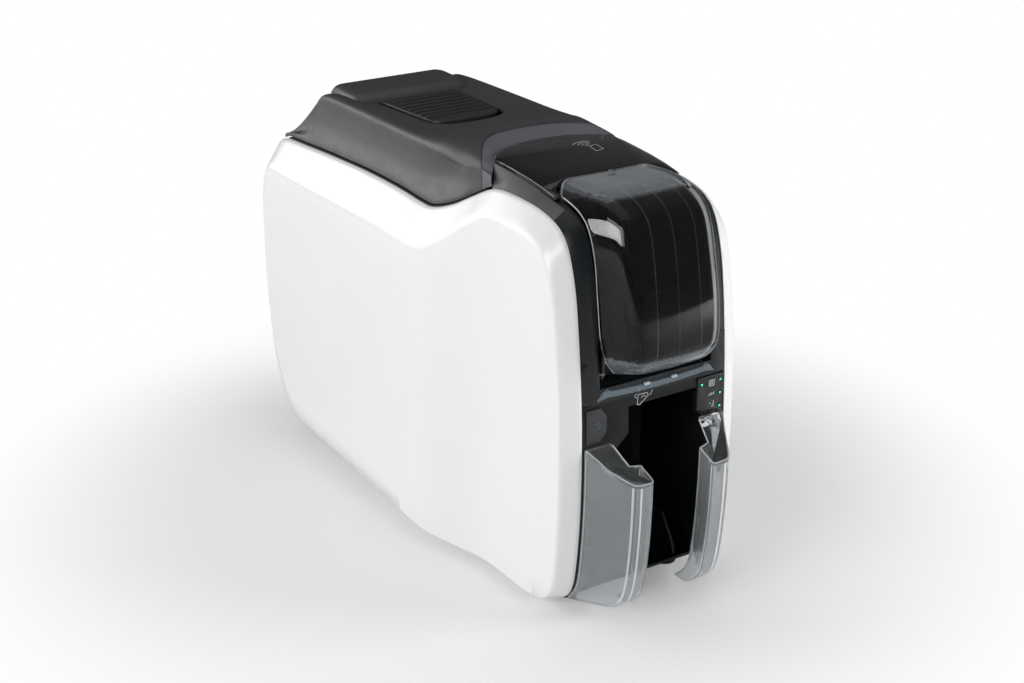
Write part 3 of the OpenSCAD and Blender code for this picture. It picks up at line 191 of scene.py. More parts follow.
def soft_spline(points: Sequence[Sequence[float]], steps: int) -> np.ndarray:
    """An open smooth curve paced by the spacing of its points, so that it doesn't overshoot.

    Args:
        points: The points that the curve passes through.
        steps: Steps from each point to the next.

    Returns:
        An array of points.
    """
    p = np.asarray(points, float)
    p = np.vstack([2 * p[0] - p[1], p, 2 * p[-1] - p[-2]])
    gap = [max(1e-4, float(np.linalg.norm(p[i + 1] - p[i]))) ** 0.5 for i in range(len(p) - 1)]
    out = []
    for i in range(1, len(p) - 2):
        t0 = 0.0
        t1 = t0 + gap[i - 1]
        t2 = t1 + gap[i]
        t3 = t2 + gap[i + 1]
        for j in range(steps):
            t = mix(t1, t2, j / steps)
            a1 = (t1 - t) / (t1 - t0) * p[i - 1] + (t - t0) / (t1 - t0) * p[i]
            a2 = (t2 - t) / (t2 - t1) * p[i] + (t - t1) / (t2 - t1) * p[i + 1]
            a3 = (t3 - t) / (t3 - t2) * p[i + 1] + (t - t2) / (t3 - t2) * p[i + 2]
            b1 = (t2 - t) / (t2 - t0) * a1 + (t - t0) / (t2 - t0) * a2
            b2 = (t3 - t) / (t3 - t1) * a2 + (t - t1) / (t3 - t1) * a3
            out.append((t2 - t) / (t2 - t1) * b1 + (t - t1) / (t2 - t1) * b2)
    out.append(p[-2])
    return np.array(out)


def shifted(points: np.ndarray, d: float, closed: bool) -> np.ndarray:
    """A plane curve moved sideways by d, outwards where d is positive.

    Args:
        points: The curve's points.
        d: How far to move it.
        closed: Whether the curve is a loop.

    Returns:
        The moved points.
    """
    if closed:
        t = np.roll(points, -1, 0) - np.roll(points, 1, 0)
    else:
        padded = np.vstack([points[:1], points, points[-1:]])
        t = padded[2:] - padded[:-2]
    size = np.maximum(1e-6, np.linalg.norm(t, axis=1))[:, None]
    return points + np.column_stack([t[:, 1], -t[:, 0]]) * d / size


def circle(steps: int) -> list[tuple[float, float]]:
    """The cosine and sine of even angles once round."""
    return [(math.cos(a), math.sin(a))
            for a in np.linspace(0, 2 * math.pi, steps, endpoint=False)]


# ---------------------------------------------------------------- meshes
class Body(str, Enum):
    """The CAD bodies that pieces ride on."""

    CHASSIS = "chassis"
    COVER = "top cover"
    LATCH = "cover latch"
    DOOR = "feeder door"
    BUTTON = "power button"
    WEIGHT = "card weight"


def piece(
    name: str,
    verts: Sequence[Sequence[float]],
    faces: Sequence[Sequence[int]],
    material: bpy.types.Material,
    smooth: float = 35.0,
) -> bpy.types.Object:
    """A mesh object made from points in millimetres.

    Args:
        name: The piece's name.
        verts: Its points.
        faces: Its faces, as point numbers.
        material: Its finish.
        smooth: Edges sharper than this many degrees stay crisp.

    Returns:
        The new object, linked to the scene.
    """
    mesh = bpy.data.meshes.new(name)
    mesh.from_pydata([tuple(float(c) * MM for c in v) for v in verts], [], [list(f) for f in faces])
    mesh.update()
    obj = bpy.data.objects.new(name, mesh)
    bpy.context.scene.collection.objects.link(obj)
    tidy(obj, smooth)
    mesh.materials.append(material)
    return obj


def tidy(obj: bpy.types.Object, smooth: float = 35.0, weld: float = 2e-6) -> None:
    """Merges doubled points, turns every face outwards and sets smooth shading.

    Args:
        obj: The mesh object.
        smooth: Edges sharper than this many degrees stay crisp.
        weld: Points closer than this many metres become one.
    """
    bm = bmesh.new()
    bm.from_mesh(obj.data)
    bmesh.ops.remove_doubles(bm, verts=bm.verts, dist=weld)
    bmesh.ops.dissolve_degenerate(bm, edges=bm.edges, dist=1e-7)
    bmesh.ops.recalc_face_normals(bm, faces=bm.faces)
    bm.to_mesh(obj.data)
    bm.free()
    shade(obj, smooth)


def shade(obj: bpy.types.Object, smooth: float) -> None:
    """Shades a piece smoothly, with edges sharper than that many degrees crisp."""
    obj.data.shade_smooth()
    obj.data.set_sharp_from_angle(angle=math.radians(smooth))


def loft(rings: Sequence[np.ndarray], ring_closed: bool = True, caps: bool = True
         ) -> tuple[list, list]:
    """Points and faces of a skin through rings of equal length.

    Args:
        rings: The rings, each an array of 3-D points.
        ring_closed: Whether each ring joins its own start.
        caps: Whether the first and last rings are filled.

    Returns:
        The points and the faces.
    """
    n = len(rings[0])
    verts = [v for r in rings for v in r]
    faces = []
    for j in range(len(rings) - 1):
        for i in range(n if ring_closed else n - 1):
            k = (i + 1) % n
            faces.append((j * n + i, j * n + k, (j + 1) * n + k, (j + 1) * n + i))
    if caps:
        half = n // 2
        for base in (0, (len(rings) - 1) * n):
            for i in range(half - 1):
                faces.append((base + i, base + i + 1, base + n - 2 - i, base + n - 1 - i))
    return verts, faces


def bevelled(obj: bpy.types.Object, width: float, segments: int = 2, angle: float = 40.0,
             finish: bpy.types.Material | None = None) -> bpy.types.Object:
    """Rounds the sharp edges of a piece so that they catch the light.

    Args:
        obj: The piece.
        width: Width of the rounding in millimetres.
        segments: Steps across the rounding.
        angle: Edges sharper than this many degrees are rounded.
        finish: The rounding's own finish, such as the pale finish that paints the highlight on a
            clear part's edge.

    Returns:
        The same piece, its rounding made part of its mesh.
    """
    mod = obj.modifiers.new("edges", "BEVEL")
    mod.width = width * MM
    mod.segments = segments
    mod.limit_method = "ANGLE"
    mod.angle_limit = math.radians(angle)
    mod.use_clamp_overlap = True
    mod.harden_normals = False
    if finish is not None:
        obj.data.materials.append(finish)
        mod.material = len(obj.data.materials) - 1
    return settled(obj)


def settled(obj: bpy.types.Object) -> bpy.types.Object:
    """Makes a piece's modifiers part of its mesh.

    Args:
        obj: The piece.

    Returns:
        The same piece with a plain mesh.
    """
    bpy.context.view_layer.update()
    graph = bpy.context.evaluated_depsgraph_get()
    mesh = bpy.data.meshes.new_from_object(obj.evaluated_get(graph))
    old = obj.data
    obj.modifiers.clear()
    obj.data = mesh
    bpy.data.meshes.remove(old)
    return obj


def combine(obj: bpy.types.Object, other: bpy.types.Object, how: str) -> bpy.types.Object:
    """Joins or cuts a piece with another, which is then removed.

    Args:
        obj: The piece that stays.
        other: The piece to join or cut with.
        how: UNION or DIFFERENCE.

    Returns:
        The piece that stays.
    """
    mod = obj.modifiers.new("combine", "BOOLEAN")
    mod.operation = how
    mod.solver = "MANIFOLD"
    mod.object = other
    settled(obj)
    bpy.data.objects.remove(other)
    return obj


def body_name(node: str) -> str:
    """The CAD body that a CAD node belongs to."""
    return str(frame["nodes"][node]["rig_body"])


def recast(
    node: str,
    material: bpy.types.Material,
    edge: float = 0.3,
    smooth: float = 30.0,
    name: str | None = None,
) -> bpy.types.Object:
    """A welded copy of a CAD node with smooth shading and rounded edges, standing for the node.

    Args:
        node: The CAD node.
        material: The copy's finish.
        edge: Rounding of its sharp edges in millimetres, or 0.
        smooth: Edges sharper than this many degrees stay crisp.
        name: The piece's name, if not the node's with an ending.

    Returns:
        The new piece, riding on the node's body.
    """
    mesh = frame["nodes"][node].data.copy()
    obj = bpy.data.objects.new(name or f"{node}_finish", mesh)
    bpy.context.scene.collection.objects.link(obj)
    mesh.materials.clear()
    mesh.materials.append(material)
    bm = bmesh.new()
    bm.from_mesh(mesh)
    bmesh.ops.remove_doubles(bm, verts=bm.verts, dist=2e-6)
    bmesh.ops.dissolve_limit(bm, angle_limit=math.radians(0.4), verts=bm.verts, edges=bm.edges)
    bm.to_mesh(mesh)
    bm.free()
    shade(obj, smooth)
    if edge > 0:
        shade(bevelled(obj, edge), 50)
    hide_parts(node)
    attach(obj, body_name(node))
    return obj


def dress(node: str, material: bpy.types.Material) -> None:
    """Gives a CAD node its finish and keeps its own shape.

    Args:
        node: The CAD node.
        material: Its finish.
    """
    mesh = frame["nodes"][node].data
    mesh.materials.clear()
    mesh.materials.append(material)


# ---------------------------------------------------------------- finishes
class Wiring:
    """The node tree of one finish, with short ways to add what mouldings and metals need."""

    def __init__(self, name: str) -> None:
        """Starts an empty tree that ends in a principled shader.

        Args:
            name: The material's name.
        """
        self.material = bpy.data.materials.new(name)
        self.material.use_nodes = True
        self.tree = self.material.node_tree
        self.tree.nodes.clear()
        self.out = self.tree.nodes.new("ShaderNodeOutputMaterial")
        self.main = self.tree.nodes.new("ShaderNodeBsdfPrincipled")
        self.join(self.main.outputs["BSDF"], self.out.inputs["Surface"])
        self.place = self.tree.nodes.new("ShaderNodeTexCoord").outputs["Object"]

    def join(self, a: bpy.types.NodeSocket, b: bpy.types.NodeSocket) -> None:
        """Links one socket to another."""
        self.tree.links.new(a, b)

    def scaled(self, stretch: tuple[float, float, float]) -> bpy.types.NodeSocket:
        """The piece's coordinates, stretched along its axes.

        Args:
            stretch: Scale along each axis.

        Returns:
            The coordinates.
        """
        node = self.tree.nodes.new("ShaderNodeMapping")
        node.inputs["Scale"].default_value = stretch
        self.join(self.place, node.inputs["Vector"])
        return node.outputs["Vector"]

    def noise(self, size: float, detail: float = 3.0, rough: float = 0.55,
              stretch: tuple[float, float, float] | None = None) -> bpy.types.NodeSocket:
        """A cloud pattern.

        Args:
            size: Size of its largest features in millimetres.
            detail: How many finer layers it has.
            rough: How strong the finer layers are.
            stretch: Scale along each axis, for brushed or drawn patterns.

        Returns:
            The pattern's value, from 0 to 1.
        """
        node = self.tree.nodes.new("ShaderNodeTexNoise")
        node.inputs["Scale"].default_value = 1000.0 / size
        node.inputs["Detail"].default_value = detail
        node.inputs["Roughness"].default_value = rough
        self.join(self.scaled(stretch) if stretch else self.place, node.inputs["Vector"])
        return node.outputs["Fac"]

    def cells(self, size: float) -> bpy.types.NodeSocket:
        """Distance to the nearest of many scattered points.

        Args:
            size: How far apart the points are in millimetres.

        Returns:
            The distance.
        """
        node = self.tree.nodes.new("ShaderNodeTexVoronoi")
        node.inputs["Scale"].default_value = 1000.0 / size
        self.join(self.place, node.inputs["Vector"])
        return node.outputs["Distance"]

    def fit(self, value: bpy.types.NodeSocket, low: float, high: float,
            start: float = 0.3, end: float = 0.7) -> bpy.types.NodeSocket:
        """A pattern's value carried from one range to another.

        Args:
            value: The pattern.
            low: The result at start.
            high: The result at end.
            start: Where the pattern's range starts.
            end: Where it ends.

        Returns:
            The new value.
        """
        node = self.tree.nodes.new("ShaderNodeMapRange")
        node.inputs["From Min"].default_value = start
        node.inputs["From Max"].default_value = end
        node.inputs["To Min"].default_value = low
        node.inputs["To Max"].default_value = high
        self.join(value, node.inputs["Value"])
        return node.outputs["Result"]

    def blend(self, share: bpy.types.NodeSocket, a: Colour, b: Colour) -> bpy.types.NodeSocket:
        """A colour between two others.

        Args:
            share: The pattern that mixes them.
            a: The colour where share is 0.
            b: The colour where share is 1.

        Returns:
            The mixed colour.
        """
        node = self.tree.nodes.new("ShaderNodeMix")
        node.data_type = "RGBA"
        node.inputs[6].default_value = (*a, 1)
        node.inputs[7].default_value = (*b, 1)
        self.join(share, node.inputs[0])
        return node.outputs[2]

    def bump(self, height: bpy.types.NodeSocket, depth: float,
             under: bpy.types.NodeSocket | None = None) -> bpy.types.NodeSocket:
        """Relief from a pattern.

        Args:
            height: The pattern.
            depth: Its depth in millimetres.
            under: Coarser relief that this lies on.

        Returns:
            The normal.
        """
        node = self.tree.nodes.new("ShaderNodeBump")
        node.inputs["Strength"].default_value = 1.0
        node.inputs["Distance"].default_value = depth * MM
        self.join(height, node.inputs["Height"])
        if under is not None:
            self.join(under, node.inputs["Normal"])
        return node.outputs["Normal"]

    def paint(self, size: float, detail: float, colour: Colour, share: float) -> None:
        """Gives the shader a colour that drifts slightly over the surface.

        Args:
            size: Size of the drift in millimetres.
            detail: How many finer layers it has.
            colour: The colour.
            share: How far the drift goes to either side of it.
        """
        drift = self.fit(self.noise(size, detail), 0, 1)
        self.join(self.blend(drift, *around(colour, share)), self.main.inputs["Base Color"])

    def set(self, **values: float | Colour) -> None:
        """Sets uniform values on the shader's own sockets, by name with _ for a space."""
        for key, value in values.items():
            socket = self.main.inputs[key.replace("_", " ")]
            socket.default_value = (*value, 1) if isinstance(value, tuple) else value


def around(colour: Colour, share: float) -> tuple[Colour, Colour]:
    """A slightly darker and a slightly lighter version of a colour."""
    return (
        tuple(max(0.0, c * (1 - share)) for c in colour),
        tuple(min(1.0, c * (1 + share)) for c in colour),
    )


@dataclass(frozen=True)
class Moulding:
    """Moulded plastic with its grain, flow marks and slightly uneven gloss."""

    name: str
    colour: Colour
    gloss: tuple[float, float] = (0.3, 0.36)
    grain: float = 0.5
    grain_depth: float = 0.01
    wave: float = 40.0
    wave_depth: float = 0.0
    uneven: float = 0.03
    coat: float = 0.0
    shine: float = 0.5

    def make(self) -> bpy.types.Material:
        """Builds the finish.

        Returns:
            The material.
        """
        w = Wiring(self.name)
        w.paint(55, 2, self.colour, self.uneven)
        w.join(w.fit(w.noise(7, 4), *self.gloss), w.main.inputs["Roughness"])
        normal = w.bump(w.noise(self.grain, 2, 0.6), self.grain_depth)
        if self.wave_depth:
            normal = w.bump(w.noise(self.wave, 1), self.wave_depth, normal)
        w.join(normal, w.main.inputs["Normal"])
        w.set(Coat_Weight=self.coat, Coat_Roughness=0.12, Specular_IOR_Level=self.shine)
        return w.material


@dataclass(frozen=True)
class Clear:
    """Clear or smoked polycarbonate with faint moulding haze."""

    name: str
    colour: Colour
    rough: tuple[float, float] = (0.01, 0.05)
    index: float = 1.5
    haze: float = 0.0

    def make(self) -> bpy.types.Material:
        """Builds the finish.

        Returns:
            The material.
        """
        w = Wiring(self.name)
        w.paint(30, 2, self.colour, 0.04)
        w.join(w.fit(w.noise(12, 4), *self.rough), w.main.inputs["Roughness"])
        w.join(w.bump(w.noise(26, 2), 0.05), w.main.inputs["Normal"])
        w.set(Transmission_Weight=1.0 - self.haze, IOR=self.index, Specular_IOR_Level=0.5)
        return w.material


@dataclass(frozen=True)
class Metal:
    """Plated, drawn or turned metal."""

    name: str
    colour: Colour
    rough: tuple[float, float] = (0.25, 0.4)
    brushed: tuple[float, float, float] = (1.0, 1.0, 1.0)
    mark: float = 1.2

    def make(self) -> bpy.types.Material:
        """Builds the finish.

        Returns:
            The material.
        """
        w = Wiring(self.name)
        lines = w.noise(self.mark, 4, 0.6, self.brushed)
        w.paint(18, 3, self.colour, 0.08)
        w.join(w.fit(lines, *self.rough), w.main.inputs["Roughness"])
        w.join(w.bump(lines, 0.012), w.main.inputs["Normal"])
        w.set(Metallic=1.0)
        return w.material


@dataclass(frozen=True)
class Rubber:
    """Soft rubber with a fine pore and dull dust."""

    name: str
    colour: Colour
    rough: tuple[float, float] = (0.6, 0.78)

    def make(self) -> bpy.types.Material:
        """Builds the finish.

        Returns:
            The material.
        """
        w = Wiring(self.name)
        w.paint(6, 4, self.colour, 0.2)
        w.join(w.fit(w.noise(2.5, 3), *self.rough), w.main.inputs["Roughness"])
        w.join(w.bump(w.cells(0.35), 0.03), w.main.inputs["Normal"])
        w.set(Specular_IOR_Level=0.3)
        return w.material


@dataclass(frozen=True)
class Lit:
    """A small lit lens or a frosted light guide."""

    name: str
    colour: Colour
    glow: Colour
    power: float
    through: float = 0.0

    def make(self) -> bpy.types.Material:
        """Builds the finish.

        Returns:
            The material.
        """
        w = Wiring(self.name)
        w.paint(8, 3, self.colour, 0.08)
        w.join(w.fit(w.noise(3, 3), 0.16, 0.3), w.main.inputs["Roughness"])
        w.join(w.bump(w.noise(0.8, 2), 0.01), w.main.inputs["Normal"])
        w.set(Emission_Color=self.glow, Emission_Strength=self.power,
              Transmission_Weight=self.through)
        return w.material


@dataclass(frozen=True)
class Board:
    """Solder mask over copper tracks."""

    name: str
    colour: Colour

    def make(self) -> bpy.types.Material:
        """Builds the finish.

        Returns:
            The material.
        """
        w = Wiring(self.name)
        brick = w.tree.nodes.new("ShaderNodeTexBrick")
        brick.inputs["Scale"].default_value = 160.0
        brick.inputs["Mortar Size"].default_value = 0.03
        brick.inputs["Color1"].default_value = (*self.colour, 1)
        brick.inputs["Color2"].default_value = (*[c * 0.86 for c in self.colour], 1)
        brick.inputs["Mortar"].default_value = (*[min(1, c * 2.1) for c in self.colour], 1)
        w.join(w.place, brick.inputs["Vector"])
        w.join(brick.outputs["Color"], w.main.inputs["Base Color"])
        w.join(w.bump(brick.outputs["Fac"], 0.03), w.main.inputs["Normal"])
        w.join(w.fit(w.noise(5, 3), 0.25, 0.4), w.main.inputs["Roughness"])
        return w.material


@dataclass
class Finishes:
    """Every finish on the printer, each made once."""

    white: bpy.types.Material = field(default_factory=Moulding(
        "white_gloss", (0.80, 0.805, 0.81), (0.2, 0.26), 1.6, 0.004, 60, 0.02, 0.006, 0.1).make)
    cover: bpy.types.Material = field(default_factory=Moulding(
        "cover_spark_texture", (0.034, 0.037, 0.04), (0.4, 0.5), 0.42, 0.05, 60, 0.02, 0.08, 0.0,
        0.75).make)
    band: bpy.types.Material = field(default_factory=Moulding(
        "band_satin_grey", (0.11, 0.116, 0.126), (0.42, 0.48), 0.42, 0.03, 50, 0.01, 0.05).make)
    nose: bpy.types.Material = field(default_factory=Moulding(
        "nose_spark_texture", (0.016, 0.018, 0.02), (0.34, 0.42), 0.4, 0.05, 50, 0.02, 0.08).make)
    # The bezel's side walls: a coarser texture and a lighter colour than the bezel's front, painted
    # light where the lamps fall.
    nose_side: bpy.types.Material = field(default_factory=Moulding(
        "nose_side_texture", (0.085, 0.09, 0.093), (0.4, 0.5), 0.4, 0.09, 50, 0.02, 0.14).make)
    black: bpy.types.Material = field(default_factory=Moulding(
        "black_satin", (0.006, 0.0065, 0.007), (0.28, 0.36), 0.5, 0.02, 50, 0.01, 0.1, 0.0,
        0.3).make)
    piano: bpy.types.Material = field(default_factory=Moulding(
        "black_gloss", (0.004, 0.004, 0.0045), (0.05, 0.1), 3.0, 0.002, 45, 0.03, 0.1, 0.4).make)
    bezel: bpy.types.Material = field(default_factory=Moulding(
        "bezel_satin_grey", (0.009, 0.0115, 0.0135), (0.3, 0.36), 0.45, 0.015, 50, 0.02, 0.06, 0.0,
        0.4).make)
    inner: bpy.types.Material = field(default_factory=Moulding(
        "inner_dark_grey", (0.035, 0.038, 0.042), (0.42, 0.5), 0.6, 0.02, 60, 0.01, 0.06).make)
    deep: bpy.types.Material = field(default_factory=Moulding(
        "liner_black", (0.003, 0.003, 0.0034), (0.3, 0.36), 3.0, 0.002, 45, 0.0, 0.1, 0.0,
        0.0).make)
    # Painted highlight: a pale finish for thin lines along the top plate's edges, standing in for
    # the light they catch.
    glint: bpy.types.Material = field(default_factory=Moulding(
        "polished_edge", (0.22, 0.23, 0.24), (0.2, 0.3), 0.6, 0.002, 40, 0.0, 0.05).make)
    smoked: bpy.types.Material = field(default_factory=Clear(
        "smoked_clear", (0.27, 0.28, 0.29), (0.002, 0.012), 1.32).make)
    veil: bpy.types.Material = field(default_factory=Clear(
        "smoked_blasted", (0.62, 0.65, 0.68), (0.02, 0.08), 1.4, 0.09).make)
    clear: bpy.types.Material = field(default_factory=Clear(
        "clear_grey", (0.74, 0.77, 0.79), (0.02, 0.07), haze=0.17).make)
    pane: bpy.types.Material = field(default_factory=Clear(
        "clear_pane", (0.88, 0.9, 0.92), (0.01, 0.03), 1.45, 0.01).make)
    # Pale hazy finishes that paint the bright highlight on the edges of the clear wings and the
    # smoked door.
    rim: bpy.types.Material = field(default_factory=Clear(
        "clear_bright_edge", (0.93, 0.95, 0.97), (0.05, 0.12), 1.5, 0.55).make)
    rim_dark: bpy.types.Material = field(default_factory=Clear(
        "smoked_bright_edge", (0.85, 0.87, 0.89), (0.05, 0.12), 1.45, 0.4).make)
    # Ribs inside the door: real ribs in a pale hazy finish that paints the thin light lines they
    # show.
    flute: bpy.types.Material = field(default_factory=Clear(
        "smoked_flute", (0.4, 0.43, 0.46), (0.08, 0.16), 1.4, 0.4).make)
    guide: bpy.types.Material = field(default_factory=Lit(
        "frosted_light_guide", (0.1, 0.125, 0.145), (0.5, 0.62, 0.7), 0.03, 0.15).make)
    frost: bpy.types.Material = field(default_factory=Lit(
        "frosted_lens", (0.4, 0.44, 0.47), (0.5, 0.62, 0.7), 0.05, 0.0).make)
    green: bpy.types.Material = field(default_factory=Lit(
        "lit_green", (0.02, 0.5, 0.18), (0.03, 0.95, 0.3), 1.6).make)
    mark: bpy.types.Material = field(default_factory=Moulding(
        "printed_mark", (0.42, 0.44, 0.46), (0.4, 0.5), 0.6, 0.004, 40, 0.0, 0.05).make)
    mark_dark: bpy.types.Material = field(default_factory=Moulding(
        "printed_mark_dark", (0.09, 0.095, 0.1), (0.4, 0.5), 0.6, 0.004, 40, 0.0, 0.05).make)
    steel: bpy.types.Material = field(default_factory=Metal(
        "turned_steel", (0.6, 0.61, 0.62), (0.18, 0.32), (0.25, 2.0, 2.0)).make)
    sheet: bpy.types.Material = field(default_factory=Metal(
        "zinc_sheet", (0.52, 0.55, 0.58), (0.3, 0.46), (1.0, 0.2, 1.5), 2.5).make)
    brass: bpy.types.Material = field(default_factory=Metal(
        "sintered_bronze", (0.6, 0.42, 0.2), (0.35, 0.5)).make)
    aluminium: bpy.types.Material = field(default_factory=Metal(
        "anodised_aluminium", (0.55, 0.57, 0.59), (0.35, 0.48), (0.15, 1.5, 1.5)).make)
    rubber: bpy.types.Material = field(default_factory=Rubber(
        "foot_rubber", (0.012, 0.012, 0.012)).make)
    roller: bpy.types.Material = field(default_factory=Rubber(
        "roller_rubber", (0.03, 0.03, 0.034), (0.45, 0.6)).make)
    tacky: bpy.types.Material = field(default_factory=Rubber(
        "cleaning_sleeve", (0.03, 0.12, 0.32), (0.3, 0.42)).make)
    nylon: bpy.types.Material = field(default_factory=Moulding(
        "natural_nylon", (0.62, 0.59, 0.5), (0.38, 0.48), 0.6, 0.01, 30, 0.01, 0.04).make)
    ceramic: bpy.types.Material = field(default_factory=Moulding(
        "head_ceramic", (0.5, 0.45, 0.36), (0.3, 0.42), 0.5, 0.01, 30, 0.0, 0.06).make)
    spool: bpy.types.Material = field(default_factory=Moulding(
        "spool_plastic", (0.55, 0.55, 0.52), (0.35, 0.42), 0.6, 0.01, 30, 0.01, 0.03).make)
    dye: bpy.types.Material = field(default_factory=Moulding(
        "dye_film", (0.16, 0.03, 0.12), (0.12, 0.22), 1.5, 0.01, 12, 0.05, 0.2, 0.3).make)
    board: bpy.types.Material = field(default_factory=Board(
        "solder_mask", (0.012, 0.09, 0.045)).make)


# ---------------------------------------------------------------- outlines shared with the casing
@dataclass(frozen=True)
class BodyPlan:
    """The outlines that the casing mouldings share, the same as in the CAD part."""

    nose_hw: float = 52.0
    deck_hw: float = 62.0
    body_hw: float = 78.5
    crease_hw: float = 64.0
    rim_top: tuple = (
        (196, 138), (195, 172), (193.6, 200), (190, 214), (180, 219.5), (150, 221.5),
        (110, 223.5), (60, 225), (20, 224.5), (-5, 223), (-20, 223.5), (-38, 229.5), (-55, 238.5),
        (-70, 246), (-83, 249), (-104, 249.5), (-124, 248), (-141, 243), (-151, 233), (-158, 212),
        (-162, 185), (-165.5, 145), (-166.5, 110))
    rim_under: tuple = (
        (195, 104), (190, 62), (182, 36), (170, 21), (150, 14.5), (110, 12), (60, 9.5),
        (20, 7.5), (-5, 6), (-20, 5), (-38, 4.6), (-55, 4.5), (-70, 4.5), (-83, 4.5), (-104, 4.5),
        (-124, 4.5), (-140, 6), (-151, 11), (-158, 20), (-162, 36), (-165.5, 70))
    crease_top: tuple = (
        (193.5, 138), (192.5, 168), (190, 188), (185, 198), (174, 201.5), (148, 201.5),
        (108, 200.5), (60, 200), (15, 199.5), (-12, 199), (-27, 201), (-42, 209), (-58, 221),
        (-74, 231), (-88, 235.5), (-106, 236), (-124, 235), (-138, 231), (-147, 222), (-153, 202),
        (-156.5, 180), (-160, 145), (-160.5, 110))
    crease_under: tuple = (
        (192.5, 104), (187, 64), (178, 40), (168, 25), (149, 18.5), (108, 15.5),
        (60, 12.5), (15, 10), (-12, 8), (-27, 7), (-42, 6.5), (-58, 6), (-74, 6), (-88, 6),
        (-106, 6), (-124, 6), (-138, 8), (-148, 13), (-153, 22), (-156.5, 38), (-159.5, 70))

    def rim_x(self, y: float) -> float:
        """Half width of the casing where the side panels meet it."""
        return mix(self.deck_hw, self.nose_hw, ease((-14 - y) / 62))

    def face_x(self, y: float) -> float:
        """Half width at the flat face of the side panels."""
        return mix(self.body_hw, self.crease_hw, ease((-14 - y) / 74))

    def rim_loop(self, steps: int) -> np.ndarray:
        """The side outline of a panel's rim."""
        return spline(self.rim_top + self.rim_under[::-1], steps, closed=True)

    def crease_loop(self, steps: int) -> np.ndarray:
        """The side outline of a panel's crease."""
        return spline(self.crease_top + self.crease_under[::-1], steps, closed=True)

    def deck_line(self) -> np.ndarray:
        """The wave of the panel tops, as rows of (y, z)."""
        return spline(self.rim_top[3:18], 8)

    def arch_back(self, x: float) -> float:
        """Back edge of the grey band in plan."""
        return -24 - 38 * min(1.08, abs(x) / (self.nose_hw + 1)) ** 2.6

    def arch_front(self, x: float) -> float:
        """Front edge of the grey band in plan."""
        return -43 - 28 * min(1.08, abs(x) / self.nose_hw) ** 2.5


PLAN = BodyPlan()
DECK = PLAN.deck_line()[::-1]


def deck_z(y: float) -> float:
    """Height of the panel tops at y."""
    return float(np.interp(y, DECK[:, 0], DECK[:, 1]))


def mirrored(points: np.ndarray) -> np.ndarray:
    """Points on the other side of the machine's middle.

    Args:
        points: The points.

    Returns:
        A turned copy of them.
    """
    out = points.copy()
    out[:, 0] *= -1
    return out


# ---------------------------------------------------------------- side panels
class Side(Enum):
    """A side of the machine, as the sign of its X."""

    LEFT = -1
    RIGHT = 1


@dataclass
class SidePanel:
    """One gloss white side panel: rounded rim, bevel fading into the waisted face, hollow back."""

    side: Side
    wall: float = 2.6
    steps: int = 8
    rows: int = 14
    profile: tuple = (
        (0.0, 0.018), (0.012, 0.07), (0.03, 0.12), (0.055, 0.17), (0.12, 0.23), (0.25, 0.345),
        (0.4, 0.477), (0.55, 0.61), (0.7, 0.74), (0.8, 0.825), (0.87, 0.876), (0.93, 0.912),
        (0.99, 0.94), (1.05, 0.965), (1.12, 0.984), (1.2, 1.0))

    def outer_rings(self) -> list[np.ndarray]:
        """The outer rings of the panel.

        Returns:
            Rings from the rim's inner edge over the bevel to the edge of the flat face.
        """
        rim, crease = PLAN.rim_loop(self.steps), PLAN.crease_loop(self.steps)
        rings = []
        for d, dx in ((-0.55, 0.0), (-0.16, 0.12)):
            loop = shifted(rim, d, True)
            rings.append(np.array([[PLAN.rim_x(p[0]) + dx, p[0], p[1]] for p in loop]))
        for s, t in self.profile:
            loop = mix(rim, crease, s)
            rings.append(np.array([[mix(PLAN.rim_x(p[0]), PLAN.face_x(p[0]), t), p[0], p[1]]
                                   for p in loop]))
        return rings

    def face_grid(self, ring: np.ndarray, first: int, base: int, inside: bool
                  ) -> tuple[list, list]:
        """Points and faces that fill a ring from its top to its underside in rows.

        Args:
            ring: The ring to fill.
            first: Number of the ring's first point.
            base: Number of the first new point.
            inside: Whether the ring is the hollow's.

        Returns:
            The new points and the faces.
        """
        n = len(ring)
        points: list = []
        columns = []
        for i in range(n // 2 + 1):
            a, b = i, (n - i) % n
            if a == b:
                columns.append([first + a])
                continue
            column = [first + a]
            for k in range(1, self.rows):
                t = k / self.rows
                p = mix(ring[a], ring[b], t)
                p[0] = PLAN.face_x(p[1]) - (self.wall if inside else 0)
                column.append(base + len(points))
                points.append(p)
            column.append(first + b)
            columns.append(column)
        faces = []
        for left, right in zip(columns, columns[1:]):
            if len(left) == 1:
                faces += [(left[0], right[k], right[k + 1]) for k in range(self.rows)]
            elif len(right) == 1:
                faces += [(left[k + 1], left[k], right[0]) for k in range(self.rows)]
            else:
                faces += [(left[k], right[k], right[k + 1], left[k + 1]) for k in range(self.rows)]
        return points, faces

    def build(self, finish: bpy.types.Material) -> bpy.types.Object:
        """Builds the panel and hangs it on the chassis body.

        Args:
            finish: The panel's finish.

        Returns:
            The panel.
        """
        outer = self.outer_rings()
        rim_in = shifted(PLAN.rim_loop(self.steps), -self.wall, True)
        crease_in = shifted(PLAN.crease_loop(self.steps), -self.wall * 1.3, True)
        inner = [
            np.array([[PLAN.rim_x(p[0]), p[0], p[1]] for p in rim_in]),
            np.array([[PLAN.face_x(p[0]) - self.wall, p[0], p[1]] for p in crease_in]),
        ]
        rings = [inner[1], inner[0], *outer]
        verts, faces = loft(rings, caps=False)
        n = len(outer[0])
        for ring, first, inside in ((outer[-1], (len(rings) - 1) * n, False),
                                    (inner[1], 0, True)):
            more, filled = self.face_grid(ring, first, len(verts), inside)
            verts += more
            faces += filled
        sign = self.side.value
        verts = [(v[0] * sign, v[1], v[2]) for v in verts]
        word = self.side.name.lower()
        obj = piece(f"{word}_side_panel_shell", verts, faces, finish, 50)
        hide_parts(f"{word}_side_panel")
        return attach(obj, Body.CHASSIS)


